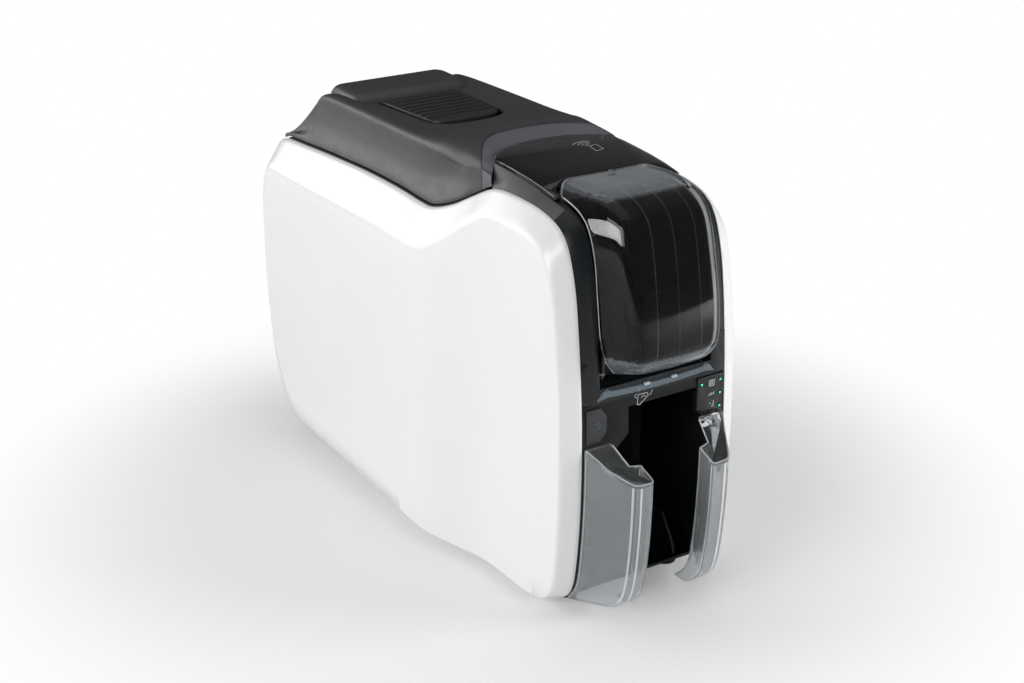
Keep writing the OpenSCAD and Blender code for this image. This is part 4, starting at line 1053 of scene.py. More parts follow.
# ---------------------------------------------------------------- top cover
def bowed_front(radius: float, reach: float, front: float, bow: float) -> list[tuple[float, float]]:
    """The front edge of the latch pad in plan, from its left corner to its right one.

    Args:
        radius: Radius of the two corners.
        reach: How far each corner's centre is from the middle.
        front: Where the edge's straight line would lie.
        bow: How far the edge bows forwards at its middle.

    Returns:
        The edge's points.
    """
    right = [(reach + radius * math.cos(math.radians(a)),
              front + radius * (1 + math.sin(math.radians(a)))) for a in np.linspace(-90, -20, 13)]
    flat = [(x, front) for x in np.linspace(-reach, reach, 11)[1:-1]]
    line = [(-x, y) for x, y in right[::-1]] + flat + right
    wide = reach + radius
    return [(x, y - bow * max(0.0, 1 - (x / wide) ** 2)) for x, y in line]


def double_skin(outer: Sequence[np.ndarray], inner: Sequence[np.ndarray]) -> tuple[list, list]:
    """Points and faces of a closed wall between an outer and an inner skin.

    Args:
        outer: The outer skin's rows.
        inner: The inner skin's rows, as many and as long.

    Returns:
        The points and the faces.
    """
    n, m = len(outer[0]), len(outer)
    verts = [v for row in (*outer, *inner) for v in row]
    off = n * m
    faces = []
    for j in range(m - 1):
        for i in range(n - 1):
            a, b = j * n + i, (j + 1) * n + i
            faces.append((a, a + 1, b + 1, b))
            faces.append((off + a, off + b, off + b + 1, off + a + 1))
        for i in (0, n - 1):
            a, b = j * n + i, (j + 1) * n + i
            faces.append((a, b, off + b, off + a))
    for j in (0, m - 1):
        for i in range(n - 1):
            a = j * n + i
            faces.append((a, a + 1, off + a + 1, off + a))
    return verts, faces


@dataclass
class CoverSection:
    """The cover's cross-section at any length: flared foot, leaning side, shoulder and deck."""

    wall: float = 2.6
    deck_at: tuple = (0.66, 0.5, 0.34, 0.12)
    half_width: Fair = field(default_factory=lambda: fair((
        (-80, 52.2), (-60, 52.3), (-44, 53), (-28, 53.8), (-10, 54.4), (11, 54.8), (90, 54.8),
        (139, 54.4), (150, 54), (180, 56.4), (187, 57.6))))
    ridge: Fair = field(default_factory=lambda: fair((
        (-80, 261.2), (-60, 263.8), (-44, 265.2), (-30, 265.6), (-18, 264.6), (-6, 262.6),
        (8, 261), (30, 260.4), (60, 260.3), (90, 260.1), (120, 259.8), (136, 259), (144, 256.4),
        (150, 251.4), (182, 224.4), (187, 221.8))))
    radius: Fair = field(default_factory=lambda: fair((
        (-80, 12), (-36, 13), (-14, 9), (8, 5), (60, 4), (136, 3.2), (150, 3.2), (180, 1.5),
        (187, 0.8))))
    crown: Fair = field(default_factory=lambda: fair((
        (-80, 261.8), (-60, 264.4), (-44, 265.8), (-30, 265.96), (-18, 264.8), (-6, 261.6),
        (8, 259.2), (24, 257.4), (40, 256), (60, 255.3), (90, 255), (136, 255), (144, 253.4),
        (150, 249.6), (182, 224.2), (187, 221.8))))
    lean: Fair = field(default_factory=lambda: fair((
        (-80, 0), (-50, 0.4), (-30, 3), (0, 1.2), (30, 0.4), (150, 0.2), (187, 0))))

    def half(self, y: float, t: float) -> np.ndarray:
        """The guiding points of half the section.

        Args:
            y: Where the section is.
            t: Distance inside the outer skin.

        Returns:
            Rows of (x, z) from the foot to the crown.
        """
        zb = deck_z(y) + 1.7
        wb = PLAN.rim_x(y) - 0.9 - t
        wr, zr = self.half_width(y) - t, self.ridge(y) - t
        zc = self.crown(y) - t
        r = max(0.4, min(zr - zb - 1, self.radius(y)))
        lean = self.lean(y)
        return np.array([
            [wb, zb], [mix(wb, wr, 0.08), zb + 2.4],
            [mix(wb, wr, 0.62) - lean, mix(zb, zr, 0.36)],
            [mix(wb, wr, 0.9) - lean * 0.8, mix(zb, zr, 0.66)],
            [wr, zr - r * 0.9], [wr - 0.28 * r, zr - 0.4 * r], [wr - 0.95 * r, zr - 0.03 * r],
            *[[wr * k, mix(zr, zc, math.cos(k * math.pi / 2))] for k in self.deck_at]])

    def row(self, y_at: Callable[[float], float], t: float, drop: float) -> np.ndarray:
        """The guiding points in space, where the row's y depends on x.

        Args:
            y_at: The row's y at a given x.
            t: Distance inside the outer skin.
            drop: How much the deck is lowered.

        Returns:
            The half row from the foot to the crown.
        """
        out = []
        for i in range(7 + len(self.deck_at)):
            x = self.half(y_at(PLAN.nose_hw - 2), t)[i][0]
            for _ in range(3):
                x = self.half(y_at(x), t)[i][0]
            y = y_at(x)
            zb = deck_z(y) + 1.7
            z = max(zb + (0.01 if t else 0.0), self.half(y, t)[i][1])
            share = 1 - drop / (self.half(y, 0)[-1][1] - zb)
            out.append([x, y, zb + (z - zb) * share])
        return np.array(out)

    def hoop(self, y_at: Callable[[float], float], t: float = 0.0, drop: float = 0.0,
             steps: int = 5) -> np.ndarray:
        """A smooth row right across the cover, from the right foot to the left one.

        Args:
            y_at: The row's y at a given x.
            t: Distance inside the outer skin.
            drop: How much the deck is lowered.
            steps: Steps between guiding points.

        Returns:
            The row's points.
        """
        half = soft_spline(self.row(y_at, t, drop), steps)
        top = half[-1].copy()
        middle = np.array([[0.0, y_at(0.0), top[2]]])
        return np.vstack([half, middle, mirrored(half)[::-1]])


@dataclass
class TopCover:
    """The hinged cover: swept skin, raised block at the back, and the well round its latch."""

    section: CoverSection = field(default_factory=CoverSection)
    front: float = 8.0
    rear: float = 186.0
    well: tuple = (29.0, 39.0, 103.0)
    well_gap: float = 4.4
    well_bow: float = 4.0
    well_clear: float = 2.2
    cut_heights: tuple = (246.5, 275.0)
    block_middle: float = 128.0
    block_line: tuple = (
        (105, 252.0), (106.2, 256.4), (108.6, 259.6), (112, 261.6), (117, 262.6), (128, 262.9),
        (140, 263.1), (145.6, 262.2), (149.4, 259.6), (151.8, 256), (154, 247))
    block_ends: tuple = ((44, 3, 5.4), (43.4, 2, 3.4), (42.2, 1.1, 1.9), (40.4, 0.5, 0.8),
                         (38, 0.1, 0.2), (35, 0, 0))

    def rows(self, inside: bool) -> list[np.ndarray]:
        """The rows of one skin, from the grey band to the hinge.

        Args:
            inside: Whether it is the inner skin.

        Returns:
            The rows.
        """
        t = self.section.wall if inside else 0.0
        out = []
        for k in range(25):
            u = (k / 24) ** 1.2
            out.append(self.section.hoop(
                lambda x, u=u: mix(PLAN.arch_back(x), self.front, u), t))
        ys = list(np.arange(self.front + 4, 134, 5.0)) + [
            134, 138, 141, 144, 147, 150, 154, 160, 166, 172, 177, 181, 184, self.rear]
        for y in ys:
            out.append(self.section.hoop(lambda x, y=y: y, t))
        return out

    def skin(self, finish: bpy.types.Material) -> bpy.types.Object:
        """The cover's skin as one closed shell, before the latch well is cut."""
        verts, faces = double_skin(self.rows(False), self.rows(True))
        return piece("top_cover_skin", verts, faces, finish, 40)

    def well_plan(self, d: float) -> list[tuple[float, float]]:
        """Outline of the latch well in plan.

        Args:
            d: How far it lies outside the latch.

        Returns:
            The outline's points.
        """
        half, front, back = self.well
        edge = bowed_front(9 + d, 17 + d * 0.4, front - self.well_gap, self.well_bow)
        return edge + [(half + d, back + 1), (-half - d, back + 1)]

    def cutter(self, finish: bpy.types.Material) -> bpy.types.Object:
        """A solid through the latch well, to cut the skin and the block with."""
        return prism("well_cutter", self.well_plan(self.well_clear), lambda u, v, h: (u, v, h),
                     *self.cut_heights, finish)

    def block(self, finish: bpy.types.Material) -> bpy.types.Object:
        """The raised block at the back of the deck, over the hinge springs.

        Args:
            finish: Its finish.

        Returns:
            The block.
        """
        line = soft_spline(self.block_line, 3)
        floor = min(p[1] for p in self.block_line)
        half = [(-x, inset, drop) for x, inset, drop in self.block_ends]
        rings = []
        for x, inset, drop in (*half, (0, 0, 0), *self.block_ends[::-1]):
            rings.append(np.array([
                [x, p[0] + inset if p[0] < self.block_middle else p[0] - inset,
                 max(floor, p[1] - drop)]
                for p in line]))
        verts, faces = loft(rings, ring_closed=True, caps=False)
        n = len(line)
        faces.append(tuple(range(n)))
        faces.append(tuple(range((len(rings) - 1) * n, len(rings) * n))[::-1])
        return piece("cover_block", verts, faces, finish, 40)

    def build(self, fin: Finishes) -> list[bpy.types.Object]:
        """Builds the cover and hangs it on its body.

        Args:
            fin: The finishes.

        Returns:
            The cover's pieces.
        """
        skin = self.skin(fin.cover)
        combine(skin, self.cutter(fin.cover), "DIFFERENCE")
        block = self.block(fin.cover)
        combine(block, self.cutter(fin.cover), "DIFFERENCE")
        bevelled(skin, 0.45, 3, 50)
        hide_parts("top_cover")
        for obj in (skin, block):
            shade(obj, 48)
            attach(obj, Body.COVER)
        return [skin, block]


@dataclass
class ArchBand:
    """The grey band that arches over the front of the cover and drops to the nose."""

    section: CoverSection = field(default_factory=CoverSection)
    drops: tuple = (4.4, 0.4)

    def build(self, finish: bpy.types.Material) -> bpy.types.Object:
        """Builds the band as a closed strip on the cover body.

        Args:
            finish: The band's finish.

        Returns:
            The band.
        """
        rows_out, rows_in = [], []
        for k in range(13):
            u = k / 12
            drop = mix(*self.drops, u)
            y_at = lambda x, u=u: mix(PLAN.arch_front(x), PLAN.arch_back(x) - 0.3, u)
            rows_out.append(self.section.hoop(y_at, 0.2, drop))
            rows_in.append(self.section.hoop(y_at, self.section.wall, drop))
        verts, faces = double_skin(rows_out, rows_in)
        obj = piece("arch_band_strip", verts, faces, finish, 40)
        bevelled(obj, 0.4, 2, 50)
        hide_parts("cover_arch_band")
        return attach(obj, Body.COVER)


# ---------------------------------------------------------------- repeats
class Scatter:
    """A Geometry Nodes tree that sets one item at many places and gives it a finish."""

    def __init__(self) -> None:
        """Builds the tree: points, instances of the item, real meshes, one finish."""
        tree = bpy.data.node_groups.new("set_item_at_points", "GeometryNodeTree")
        face = tree.interface
        face.new_socket("Geometry", in_out="INPUT", socket_type="NodeSocketGeometry")
        self.item = face.new_socket("Item", in_out="INPUT", socket_type="NodeSocketObject")
        self.finish = face.new_socket("Finish", in_out="INPUT", socket_type="NodeSocketMaterial")
        self.size = face.new_socket("Size", in_out="INPUT", socket_type="NodeSocketFloat")
        face.new_socket("Geometry", in_out="OUTPUT", socket_type="NodeSocketGeometry")
        new = tree.nodes.new
        start, end = new("NodeGroupInput"), new("NodeGroupOutput")
        info = new("GeometryNodeObjectInfo")
        info.transform_space = "ORIGINAL"
        put = new("GeometryNodeInstanceOnPoints")
        real = new("GeometryNodeRealizeInstances")
        paint = new("GeometryNodeSetMaterial")
        join = tree.links.new
        join(start.outputs["Geometry"], put.inputs["Points"])
        join(start.outputs["Item"], info.inputs["Object"])
        join(info.outputs["Geometry"], put.inputs["Instance"])
        join(start.outputs["Size"], put.inputs["Scale"])
        join(put.outputs["Instances"], real.inputs["Geometry"])
        join(real.outputs["Geometry"], paint.inputs["Geometry"])
        join(start.outputs["Finish"], paint.inputs["Material"])
        join(paint.outputs["Geometry"], end.inputs["Geometry"])
        self.tree = tree

    def run(self, name: str, item: bpy.types.Object, places: Sequence[Sequence[float]],
            finish: bpy.types.Material) -> bpy.types.Object:
        """Sets copies of an item at places and makes them one plain mesh.

        Args:
            name: The new piece's name.
            item: The item, centred on its own origin; it is removed afterwards.
            places: Where the copies go, in millimetres.
            finish: Their finish.

        Returns:
            The new piece.
        """
        mesh = bpy.data.meshes.new(name)
        mesh.from_pydata([tuple(c * MM for c in p) for p in places], [], [])
        obj = bpy.data.objects.new(name, mesh)
        bpy.context.scene.collection.objects.link(obj)
        mod = obj.modifiers.new("scatter", "NODES")
        mod.node_group = self.tree
        mod[self.item.identifier] = item
        mod[self.finish.identifier] = finish
        mod[self.size.identifier] = 1.0
        settled(obj)
        bpy.data.objects.remove(item)
        return obj


def cube(name: str, a: Sequence[float], b: Sequence[float], finish: bpy.types.Material,
         edge: float = 0.0) -> bpy.types.Object:
    """A box with its sides along the axes.

    Args:
        name: The piece's name.
        a: One corner in millimetres.
        b: The opposite corner.
        finish: Its finish.
        edge: Rounding of its edges in millimetres, or 0.

    Returns:
        The box.
    """
    verts = [(x, y, z) for x in (a[0], b[0]) for y in (a[1], b[1]) for z in (a[2], b[2])]
    faces = [(0, 1, 3, 2), (4, 6, 7, 5), (0, 4, 5, 1), (2, 3, 7, 6), (0, 2, 6, 4), (1, 5, 7, 3)]
    obj = piece(name, verts, faces, finish)
    return bevelled(obj, edge) if edge else obj


def prism(name: str, outline: Sequence[Sequence[float]], place: Callable[[float, float], tuple],
          low: float, high: float, finish: bpy.types.Material, smooth: float = 35.0
          ) -> bpy.types.Object:
    """A solid drawn from a flat outline.

    Args:
        name: The piece's name.
        outline: The outline's points.
        place: Turns an outline point (u, v) and the height, passed third, into a point in space.
        low: Where the solid starts.
        high: Where it ends.
        finish: Its finish.
        smooth: Edges sharper than this many degrees stay crisp.

    Returns:
        The solid.
    """
    n = len(outline)
    verts = [place(p[0], p[1], h) for h in (low, high) for p in outline]
    faces = [tuple(range(n))[::-1], tuple(range(n, 2 * n))]
    faces += [(i, (i + 1) % n, n + (i + 1) % n, n + i) for i in range(n)]
    return piece(name, verts, faces, finish, smooth)


def wires(name: str, paths: Sequence[np.ndarray], radius: float, finish: bpy.types.Material,
          sides: int = 6) -> bpy.types.Object:
    """Thin round lines along paths in space, used as painted highlights along polished edges.

    Args:
        name: The piece's name.
        paths: The lines' middles, each an array of 3-D points.
        radius: Their radius.
        finish: Their finish.
        sides: Sides of each line.

    Returns:
        All the lines as one piece.
    """
    verts: list = []
    faces: list = []
    for path in paths:
        line = np.asarray(path, float)
        keep = [0] + [i for i in range(1, len(line))
                      if np.linalg.norm(line[i] - line[i - 1]) > 0.02]
        line = line[keep]
        ahead = np.gradient(line, axis=0)
        ahead /= np.linalg.norm(ahead, axis=1)[:, None]
        across = np.cross(ahead[0], (0.31, 0.22, 0.92))
        rings = []
        for at, t in zip(line, ahead):
            across = across - t * float(across @ t)
            across = across / np.linalg.norm(across)
            up = np.cross(t, across)
            rings.append(np.array([at + radius * (c * across + s * up)
                                   for c, s in circle(sides)]))
        more, walls = loft(rings, caps=True)
        faces += [tuple(i + len(verts) for i in f) for f in walls]
        verts += more
    return piece(name, verts, faces, finish, 70)


# ---------------------------------------------------------------- latch
@dataclass
class LatchPad:
    """The ribbed pad that is pressed to open the cover."""

    front: float = 39.0
    back: float = 103.0
    bow: float = 3.4
    ribs: int = 7
    pitch: float = 7.4
    rib_radius: float = 1.5
    rib_ends: tuple = ((25.6, 0.2), (25.2, 0.6), (24.2, 0.9), (22.5, 1))
    layers: tuple = ((254.0, -0.6), (254.2, -0.1), (257.0, 0.0), (257.6, -0.16), (257.92, -0.6),
                     (258.0, -1.2))

    def outline(self, d: float) -> list[tuple[float, float]]:
        """The pad in plan, grown by d."""
        front = bowed_front(9 + d, 17, self.front - d, self.bow)
        return front + [(29 + d, self.back + d), (-29 - d, self.back + d)]

    def build(self, fin: Finishes, scatter: Scatter) -> list[bpy.types.Object]:
        """Builds the pad with its ribs and hangs them on the latch body.

        Args:
            fin: The finishes.
            scatter: The tree that repeats the ribs.

        Returns:
            The latch's pieces.
        """
        rings = [np.array([[x, y, z] for x, y in self.outline(d)]) for z, d in self.layers]
        n = len(rings[0])
        verts, faces = loft(rings, caps=False)
        faces += [tuple(range(n))[::-1], tuple(range((len(rings) - 1) * n, len(rings) * n))]
        pad = piece("latch_pad_body", verts, faces, fin.nose, 40)
        rib = self.rib(fin.nose)
        places = [(0, self.front + 12 + i * self.pitch, 257.6) for i in range(self.ribs)]
        ribs = scatter.run("latch_pad_ribs", rib, places, fin.nose)
        lug = cube("latch_lug", (-20, self.back - 5, 251.6), (20, self.back + 0.4, 254.8),
                   fin.nose, 0.4)
        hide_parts("cover_latch")
        for obj in (pad, ribs, lug):
            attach(obj, Body.LATCH)
        return [pad, ribs, lug]

    def rib(self, finish: bpy.types.Material) -> bpy.types.Object:
        """One cross rib with soft ends, round its own middle.

        Args:
            finish: Its finish.

        Returns:
            The rib.
        """
        r = self.rib_radius
        ends = [(-x, k) for x, k in self.rib_ends] + list(self.rib_ends[::-1])
        rings = [np.array([(x, r * k * c, r * k * s * 0.95) for c, s in circle(20)])
                 for x, k in ends]
        verts, faces = loft(rings, caps=True)
        return piece("rib", verts, faces, finish, 60)


# ---------------------------------------------------------------- feeder door
@dataclass
class FeederDoor:
    """The clear hinged door: a bowed shell with round corners, its catch, steps and dark liner."""

    half_width: float = 40.0
    corner: float = 10.5
    straight: int = 6
    turn: int = 8
    turn_share: tuple = (0.34, 0.5)
    bulge: float = 0.035
    crown: float = 0.8
    thickness: float = 1.7
    veil_above: float = 257.2
    veil_below: float = 170.0
    edge: tuple = ((-125.6, 254.6), (-136, 252.6), (-145, 249.2), (-153, 242), (-159.3, 226),
                   (-162.6, 203), (-165.6, 181), (-167.4, 171), (-168, 165), (-168.4, 161),
                   (-168.6, 158.8))
    front: tuple = ((-113, 259.8), (-135, 261), (-154, 258.6), (-167.6, 252.6), (-175.6, 243),
                    (-182, 221), (-187, 196), (-189.6, 177), (-188.6, 168.6), (-183.6, 161.6),
                    (-173.6, 157.6))
    drawn_in: tuple = ((157, 9.4), (161, 6.2), (166, 2.8), (173, 1), (182, 0))
    flutes: tuple = ((-13.5, -17.5), (1.5, -2.5), (16.5, 13.5))
    rim_radius: float = 0.42
    rim_inset: float = 0.45
    lug: tuple = ((-165.4, 182), (-167.4, 173), (-168, 160), (-166, 155.6), (-161.4, 155.6),
                  (-160.4, 160), (-163, 182))
    lug_reach: tuple = (37.5, 39.7)
    catch_y: float = -119.0
    catch: tuple = ((259.0, 2.5), (261.0, 2.5), (261.45, 2.35), (261.6, 2.0))
    foot: tuple = ((-186.2, 172.6), (-186.2, 169.8), (-183.2, 169.8), (-183.2, 166.6),
                   (-179.4, 166.6), (-179.4, 163.9), (-174.6, 163.9), (-174.6, 161.6),
                   (-170.4, 161.6), (-170.4, 166), (-176, 170), (-181, 175))
    foot_half: float = 22.0

    def ring(self, e: np.ndarray, f: np.ndarray, hw: float) -> np.ndarray:
        """A row across the door from its left edge over the front to its right edge.

        Args:
            e: The row's (y, z) at the side edges.
            f: The row's (y, z) along the front.
            hw: Half width of the row.

        Returns:
            The row's points.
        """
        flat = hw - self.corner
        s, r = self.turn_share
        shares = []
        for i in range(self.turn):
            t = i / self.turn
            shares.append(((1 - t) ** 2 * -r + t * t * s, t * t * s))
        for i in range(self.straight + 1):
            t = mix(s, 1, i / self.straight)
            shares.append((t, t))
        flank = []
        for u, v in shares:
            swell = self.bulge * math.sin(math.pi * min(1.0, max(0.0, v)))
            q = mix(f, e, v - swell)
            flank.append([flat + self.corner * (u + swell), q[0], q[1]])
        start = flat - r * self.corner
        middle = [[x, f[0] - self.crown * (1 - (x / start) ** 2), f[1]]
                  for x in np.linspace(-start, start, 9)[1:-1]]
        return np.array([[-x, y, z] for x, y, z in flank[::-1]] + middle + flank)

    def shell(self, step: float, hw: float, fine: int) -> list[np.ndarray]:
        """Rows of the door from its top edge to its foot.

        Args:
            step: How far inside the outer face they lie.
            hw: Half width of the rows.
            fine: Steps between guiding points.

        Returns:
            The rows.
        """
        e = shifted(spline(self.edge, fine), -step, False)
        f = shifted(spline(self.front, fine), -step, False)
        return [self.ring(e[i], f[i], hw - lookup(float(e[i][1]), self.drawn_in))
                for i in range(len(e))]

    def build(self, fin: Finishes) -> list[bpy.types.Object]:
        """Builds the door and hangs its pieces on the door body.

        Args:
            fin: The finishes.

        Returns:
            The door's pieces.
        """
        out = self.shell(0, self.half_width, 5)
        inn = self.shell(self.thickness, self.half_width - self.thickness, 5)
        rings = [np.vstack([a, b[::-1]]) for a, b in zip(out, inn)]
        verts, faces = loft(rings, caps=True)
        clear = piece("feeder_door_shell", verts, faces, fin.smoked, 40)
        # The rounded edges of the shell take a pale finish: a painted highlight.
        bevelled(clear, 0.8, 3, 55, fin.rim_dark)
        shade(clear, 70)
        self.veil(clear, fin.veil)
        ears = self.ears(fin.smoked)
        nub = self.nub(fin.smoked)
        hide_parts("feeder_door")
        steps = self.steps(fin.piano)
        flutes = [self.flute(i, x, fin.flute) for i, x in enumerate(self.flutes)]
        # Thin pale lines down the door's edges and along its top: painted highlights.
        rim = wires("feeder_door_edges", self.rim_lines(), self.rim_radius, fin.rim_dark)
        for obj in (clear, *ears, nub, rim, *flutes):
            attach(obj, Body.DOOR)
        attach(steps, Body.DOOR)
        recast("feeder_door_liner", fin.deep, 0.25, 25)
        return [clear, *ears, nub, rim, steps, *flutes]

    def rim_lines(self) -> list[np.ndarray]:
        """The middles of the door's polished outer edges, where the painted highlight lines go.

        Returns:
            The lines down both sides and along the top.
        """
        rows = self.shell(self.rim_inset, self.half_width - self.rim_inset, 5)
        left = np.array([r[0] for r in rows])
        right = np.array([r[-1] for r in rows])
        top = rows[0].copy()
        top[:, 2] -= 0.1
        return [left[1:], right[1:], top[1:-1]]

    def veil(self, shell: bpy.types.Object, finish: bpy.types.Material) -> None:
        """Gives the door's top edge and its foot a paler finish.

        Args:
            shell: The door's shell.
            finish: The paler finish.
        """
        shell.data.materials.append(finish)
        number = len(shell.data.materials) - 1
        for face in shell.data.polygons:
            z = face.center.z / MM
            if face.material_index == 0 and (z > self.veil_above or z < self.veil_below):
                face.material_index = number

    def flute(self, number: int, ends: tuple[float, float], finish: bpy.types.Material
              ) -> bpy.types.Object:
        """One fine moulded rib down the inside of the clear front, its pale hazy finish a painted
        highlight.

        Args:
            number: The rib's number, from the left.
            ends: Its x at the top edge and at the foot.
            finish: Its finish.

        Returns:
            The rib.
        """
        line = shifted(spline(self.front, 5), -self.thickness - 0.1, False)[4:-9]
        rings = []
        for i, (y, z) in enumerate(line):
            u = i / (len(line) - 1)
            x = mix(ends[0], ends[1], ease(u)) + 1.6 * math.sin(math.pi * u)
            y -= self.crown * (1 - (x / (self.half_width - self.corner * 1.5)) ** 2)
            w = 0.36 * min(1.0, 6 * u, 6 * (1 - u)) + 0.04
            rings.append(np.array([[x - w, y, z], [x, y + 0.35, z], [x + w, y, z],
                                   [x, y - 0.05, z]]))
        verts, faces = loft(rings, caps=True)
        return piece(f"door_flute_{number}", verts, faces, finish, 60)

    def ears(self, finish: bpy.types.Material) -> list[bpy.types.Object]:
        """The two hinge lugs at the foot of the door.

        Args:
            finish: Their finish.

        Returns:
            The lugs.
        """
        out = []
        for side in Side:
            s = side.value
            obj = prism(f"door_lug_{side.name.lower()}", self.lug,
                        lambda u, v, h, s=s: (h * s, u, v), *self.lug_reach, finish)
            out.append(bevelled(obj, 0.3))
        return out

    def nub(self, finish: bpy.types.Material) -> bpy.types.Object:
        """The small catch on the door's top edge.

        Args:
            finish: Its finish.

        Returns:
            The catch.
        """
        rings = [np.array([[r * c, self.catch_y + r * s, z] for c, s in circle(24)])
                 for z, r in self.catch]
        verts, faces = loft(rings, caps=True)
        return piece("door_catch", verts, faces, finish, 40)

    def steps(self, finish: bpy.types.Material) -> bpy.types.Object:
        """The stepped foot behind the clear shell, four ledges deep.

        Args:
            finish: Its finish.

        Returns:
            The foot.
        """
        obj = prism("door_foot_steps", self.foot, lambda u, v, h: (h, u, v), -self.foot_half,
                    self.foot_half, finish, 20)
        return bevelled(obj, 0.3)


# ---------------------------------------------------------------- front
FACE = ((-151, 11), (-158, 20), (-162, 36), (-165.3, 70), (-166.4, 110), (-165.3, 140.9))
FACE_LINE = spline(FACE, 8)


def face_y(z: float) -> float:
    """Where the lower face stands at height z."""
    if z <= 11:
        return float(np.interp(z, (9, 11), (-149.6, -151)))
    return float(np.interp(z, FACE_LINE[:, 1], FACE_LINE[:, 0]))


@dataclass
class OutputWing:
    """One clear wing beside the output hopper: slanted flank, front, return and sloping lid."""

    side: Side
    wall: float = 2.0
    rows: int = 14
    # Columns of the flank that are painted as thin highlight lines.
    lines: tuple = (8, 12, 21)
    edge_radius: float = 0.42
    tab_heights: tuple = (48.0, 79.0)
    tab_tall: float = 4.5
    tab_shares: tuple = (0.22, 0.5)
    foot: float = 9.0
    lid_back: tuple = ((-29.6, -14), (-32.4, -1.4), (-33, 0))
    lid_edge: tuple = ((-29.0, -14.2), (-31.8, -1.6))
    plan: tuple = ((-50.6, 0), (-50, -1.6), (-43.3, -13.4), (-37.2, -24.1), (-35.6, -26.4),
                   (-33.6, -28.1), (-31.2, -28.9), (-28.6, -29.1), (-24.4, -29.28),
                   (-23.0, -29.1), (-21.9, -28.4), (-21.3, -27.2), (-21.3, -21), (-21.3, -15.8))
    top: Fair = field(default_factory=lambda: fair(
        ((-30, 98.2), (-14.4, 104.6), (-2.4, 113.6), (1, 115))))
    draft: Fair = field(default_factory=lambda: fair(
        ((9, 0.84), (14, 0.93), (26, 0.98), (60, 1), (120, 1))))

    def point(self, p: Sequence[float], z: float) -> tuple[float, float, float]:
        """The wing's plan point p at height z, for this side."""
        y = face_y(z) - 0.5 + min(0.0, p[1]) * self.draft(z)
        return (-p[0] * self.side.value, y, z)

    def build(self, fin: Finishes) -> bpy.types.Object:
        """Builds the wing on the chassis body.

        Args:
            fin: The finishes.

        Returns:
            The wing.
        """
        plan = soft_spline(np.array(self.plan, float), 2)
        inner = shifted(plan, -self.wall, False)
        loop = np.vstack([plan, inner[::-1]])
        rings = []
        for t in np.linspace(0, 1, self.rows) ** 1.4:
            rings.append(np.array([self.point(p, mix(self.foot, self.top(p[1]), t)) for p in loop]))
        verts, faces = loft(rings, caps=True)
        word = self.side.name.lower()
        walls = piece(f"{word}_wing_walls", verts, faces, fin.clear, 40)
        # Three thin columns of the flank take the pale edge finish: painted highlight lines.
        walls.data.materials.append(fin.rim)
        for face in walls.data.polygons:
            if face.index < len(loop) * (self.rows - 1) and face.index % len(loop) in self.lines:
                face.material_index = 1
        lid = np.vstack([plan, self.lid_back])
        layers = [np.array([self.point(p, self.top(p[1]) + d) for p in lid]) for d in (-2, 0.0)]
        n = len(lid)
        verts = [v for r in layers for v in r]
        faces = [tuple(range(n)), tuple(range(n, 2 * n))]
        faces += [(i, (i + 1) % n, n + (i + 1) % n, n + i) for i in range(n)]
        top = piece(f"{word}_wing_lid", verts, faces, fin.clear, 40)
        combine(walls, top, "UNION")
        # The rounded edges take the pale finish too, as painted highlights.
        bevelled(walls, 0.3, 2, 34, fin.rim)
        self.see_through(walls, fin.pane)
        shade(walls, 55)
        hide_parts(f"{word}_output_wing")
        extra = [self.edges(word, plan, fin.rim), *self.tabs(word, plan, fin.black)]
        for obj in (walls, *extra):
            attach(obj, Body.CHASSIS)
        return walls

    def edges(self, word: str, plan: np.ndarray, finish: bpy.types.Material) -> bpy.types.Object:
        """Painted highlights along the wing's polished edges.

        Args:
            word: The side's name.
            plan: The wing's outer plan.
            finish: The edges' finish.

        Returns:
            The edges as one piece.
        """
        r = self.edge_radius
        line = shifted(plan, -1.05 * r, False)
        lid = np.vstack([line[-1:], self.lid_edge])
        paths = [
            np.array([self.point(p, self.top(p[1]) - r) for p in line[1:]]),
            np.array([self.point(p, self.top(p[1]) - r) for p in lid]),
            np.array([self.point(p, self.foot + r) for p in line[1:]]),
        ]
        for p in (line[1], line[-1]):
            paths.append(np.array([
                self.point(p, mix(self.foot + r, self.top(p[1]) - r, k / 24))
                for k in range(25)]))
        return wires(f"{word}_wing_edges", paths, r, finish)

    def tabs(self, word: str, plan: np.ndarray, finish: bpy.types.Material
             ) -> list[bpy.types.Object]:
        """The dark snap tabs behind the wing's flank.

        Args:
            word: The side's name.
            plan: The wing's outer plan.
            finish: The tabs' finish.

        Returns:
            The tabs.
        """
        outer = shifted(plan, -self.wall - 0.05, False)
        inner = shifted(plan, -self.wall - 1.0, False)
        out = []
        for i, z in enumerate(self.tab_heights):
            a, b = self.tab_shares
            outline = [mix(outer[2], outer[4], a), mix(outer[2], outer[4], b),
                       mix(inner[2], inner[4], b), mix(inner[2], inner[4], a)]
            out.append(prism(f"{word}_wing_tab_{i}", outline,
                             lambda u, v, h: self.point((u, v), h), z, z + self.tab_tall, finish))
        return out

    def see_through(self, walls: bpy.types.Object, finish: bpy.types.Material) -> None:
        """Makes the faces of the sloping lid plain clear, without the flank's haze.

        Args:
            walls: The wing.
            finish: The lid's finish.
        """
        walls.data.materials.append(finish)
        number = len(walls.data.materials) - 1
        for face in walls.data.polygons:
            if face.material_index == 0 and abs(face.normal.z) > 0.5 and face.center.z > 90 * MM:
                face.material_index = number


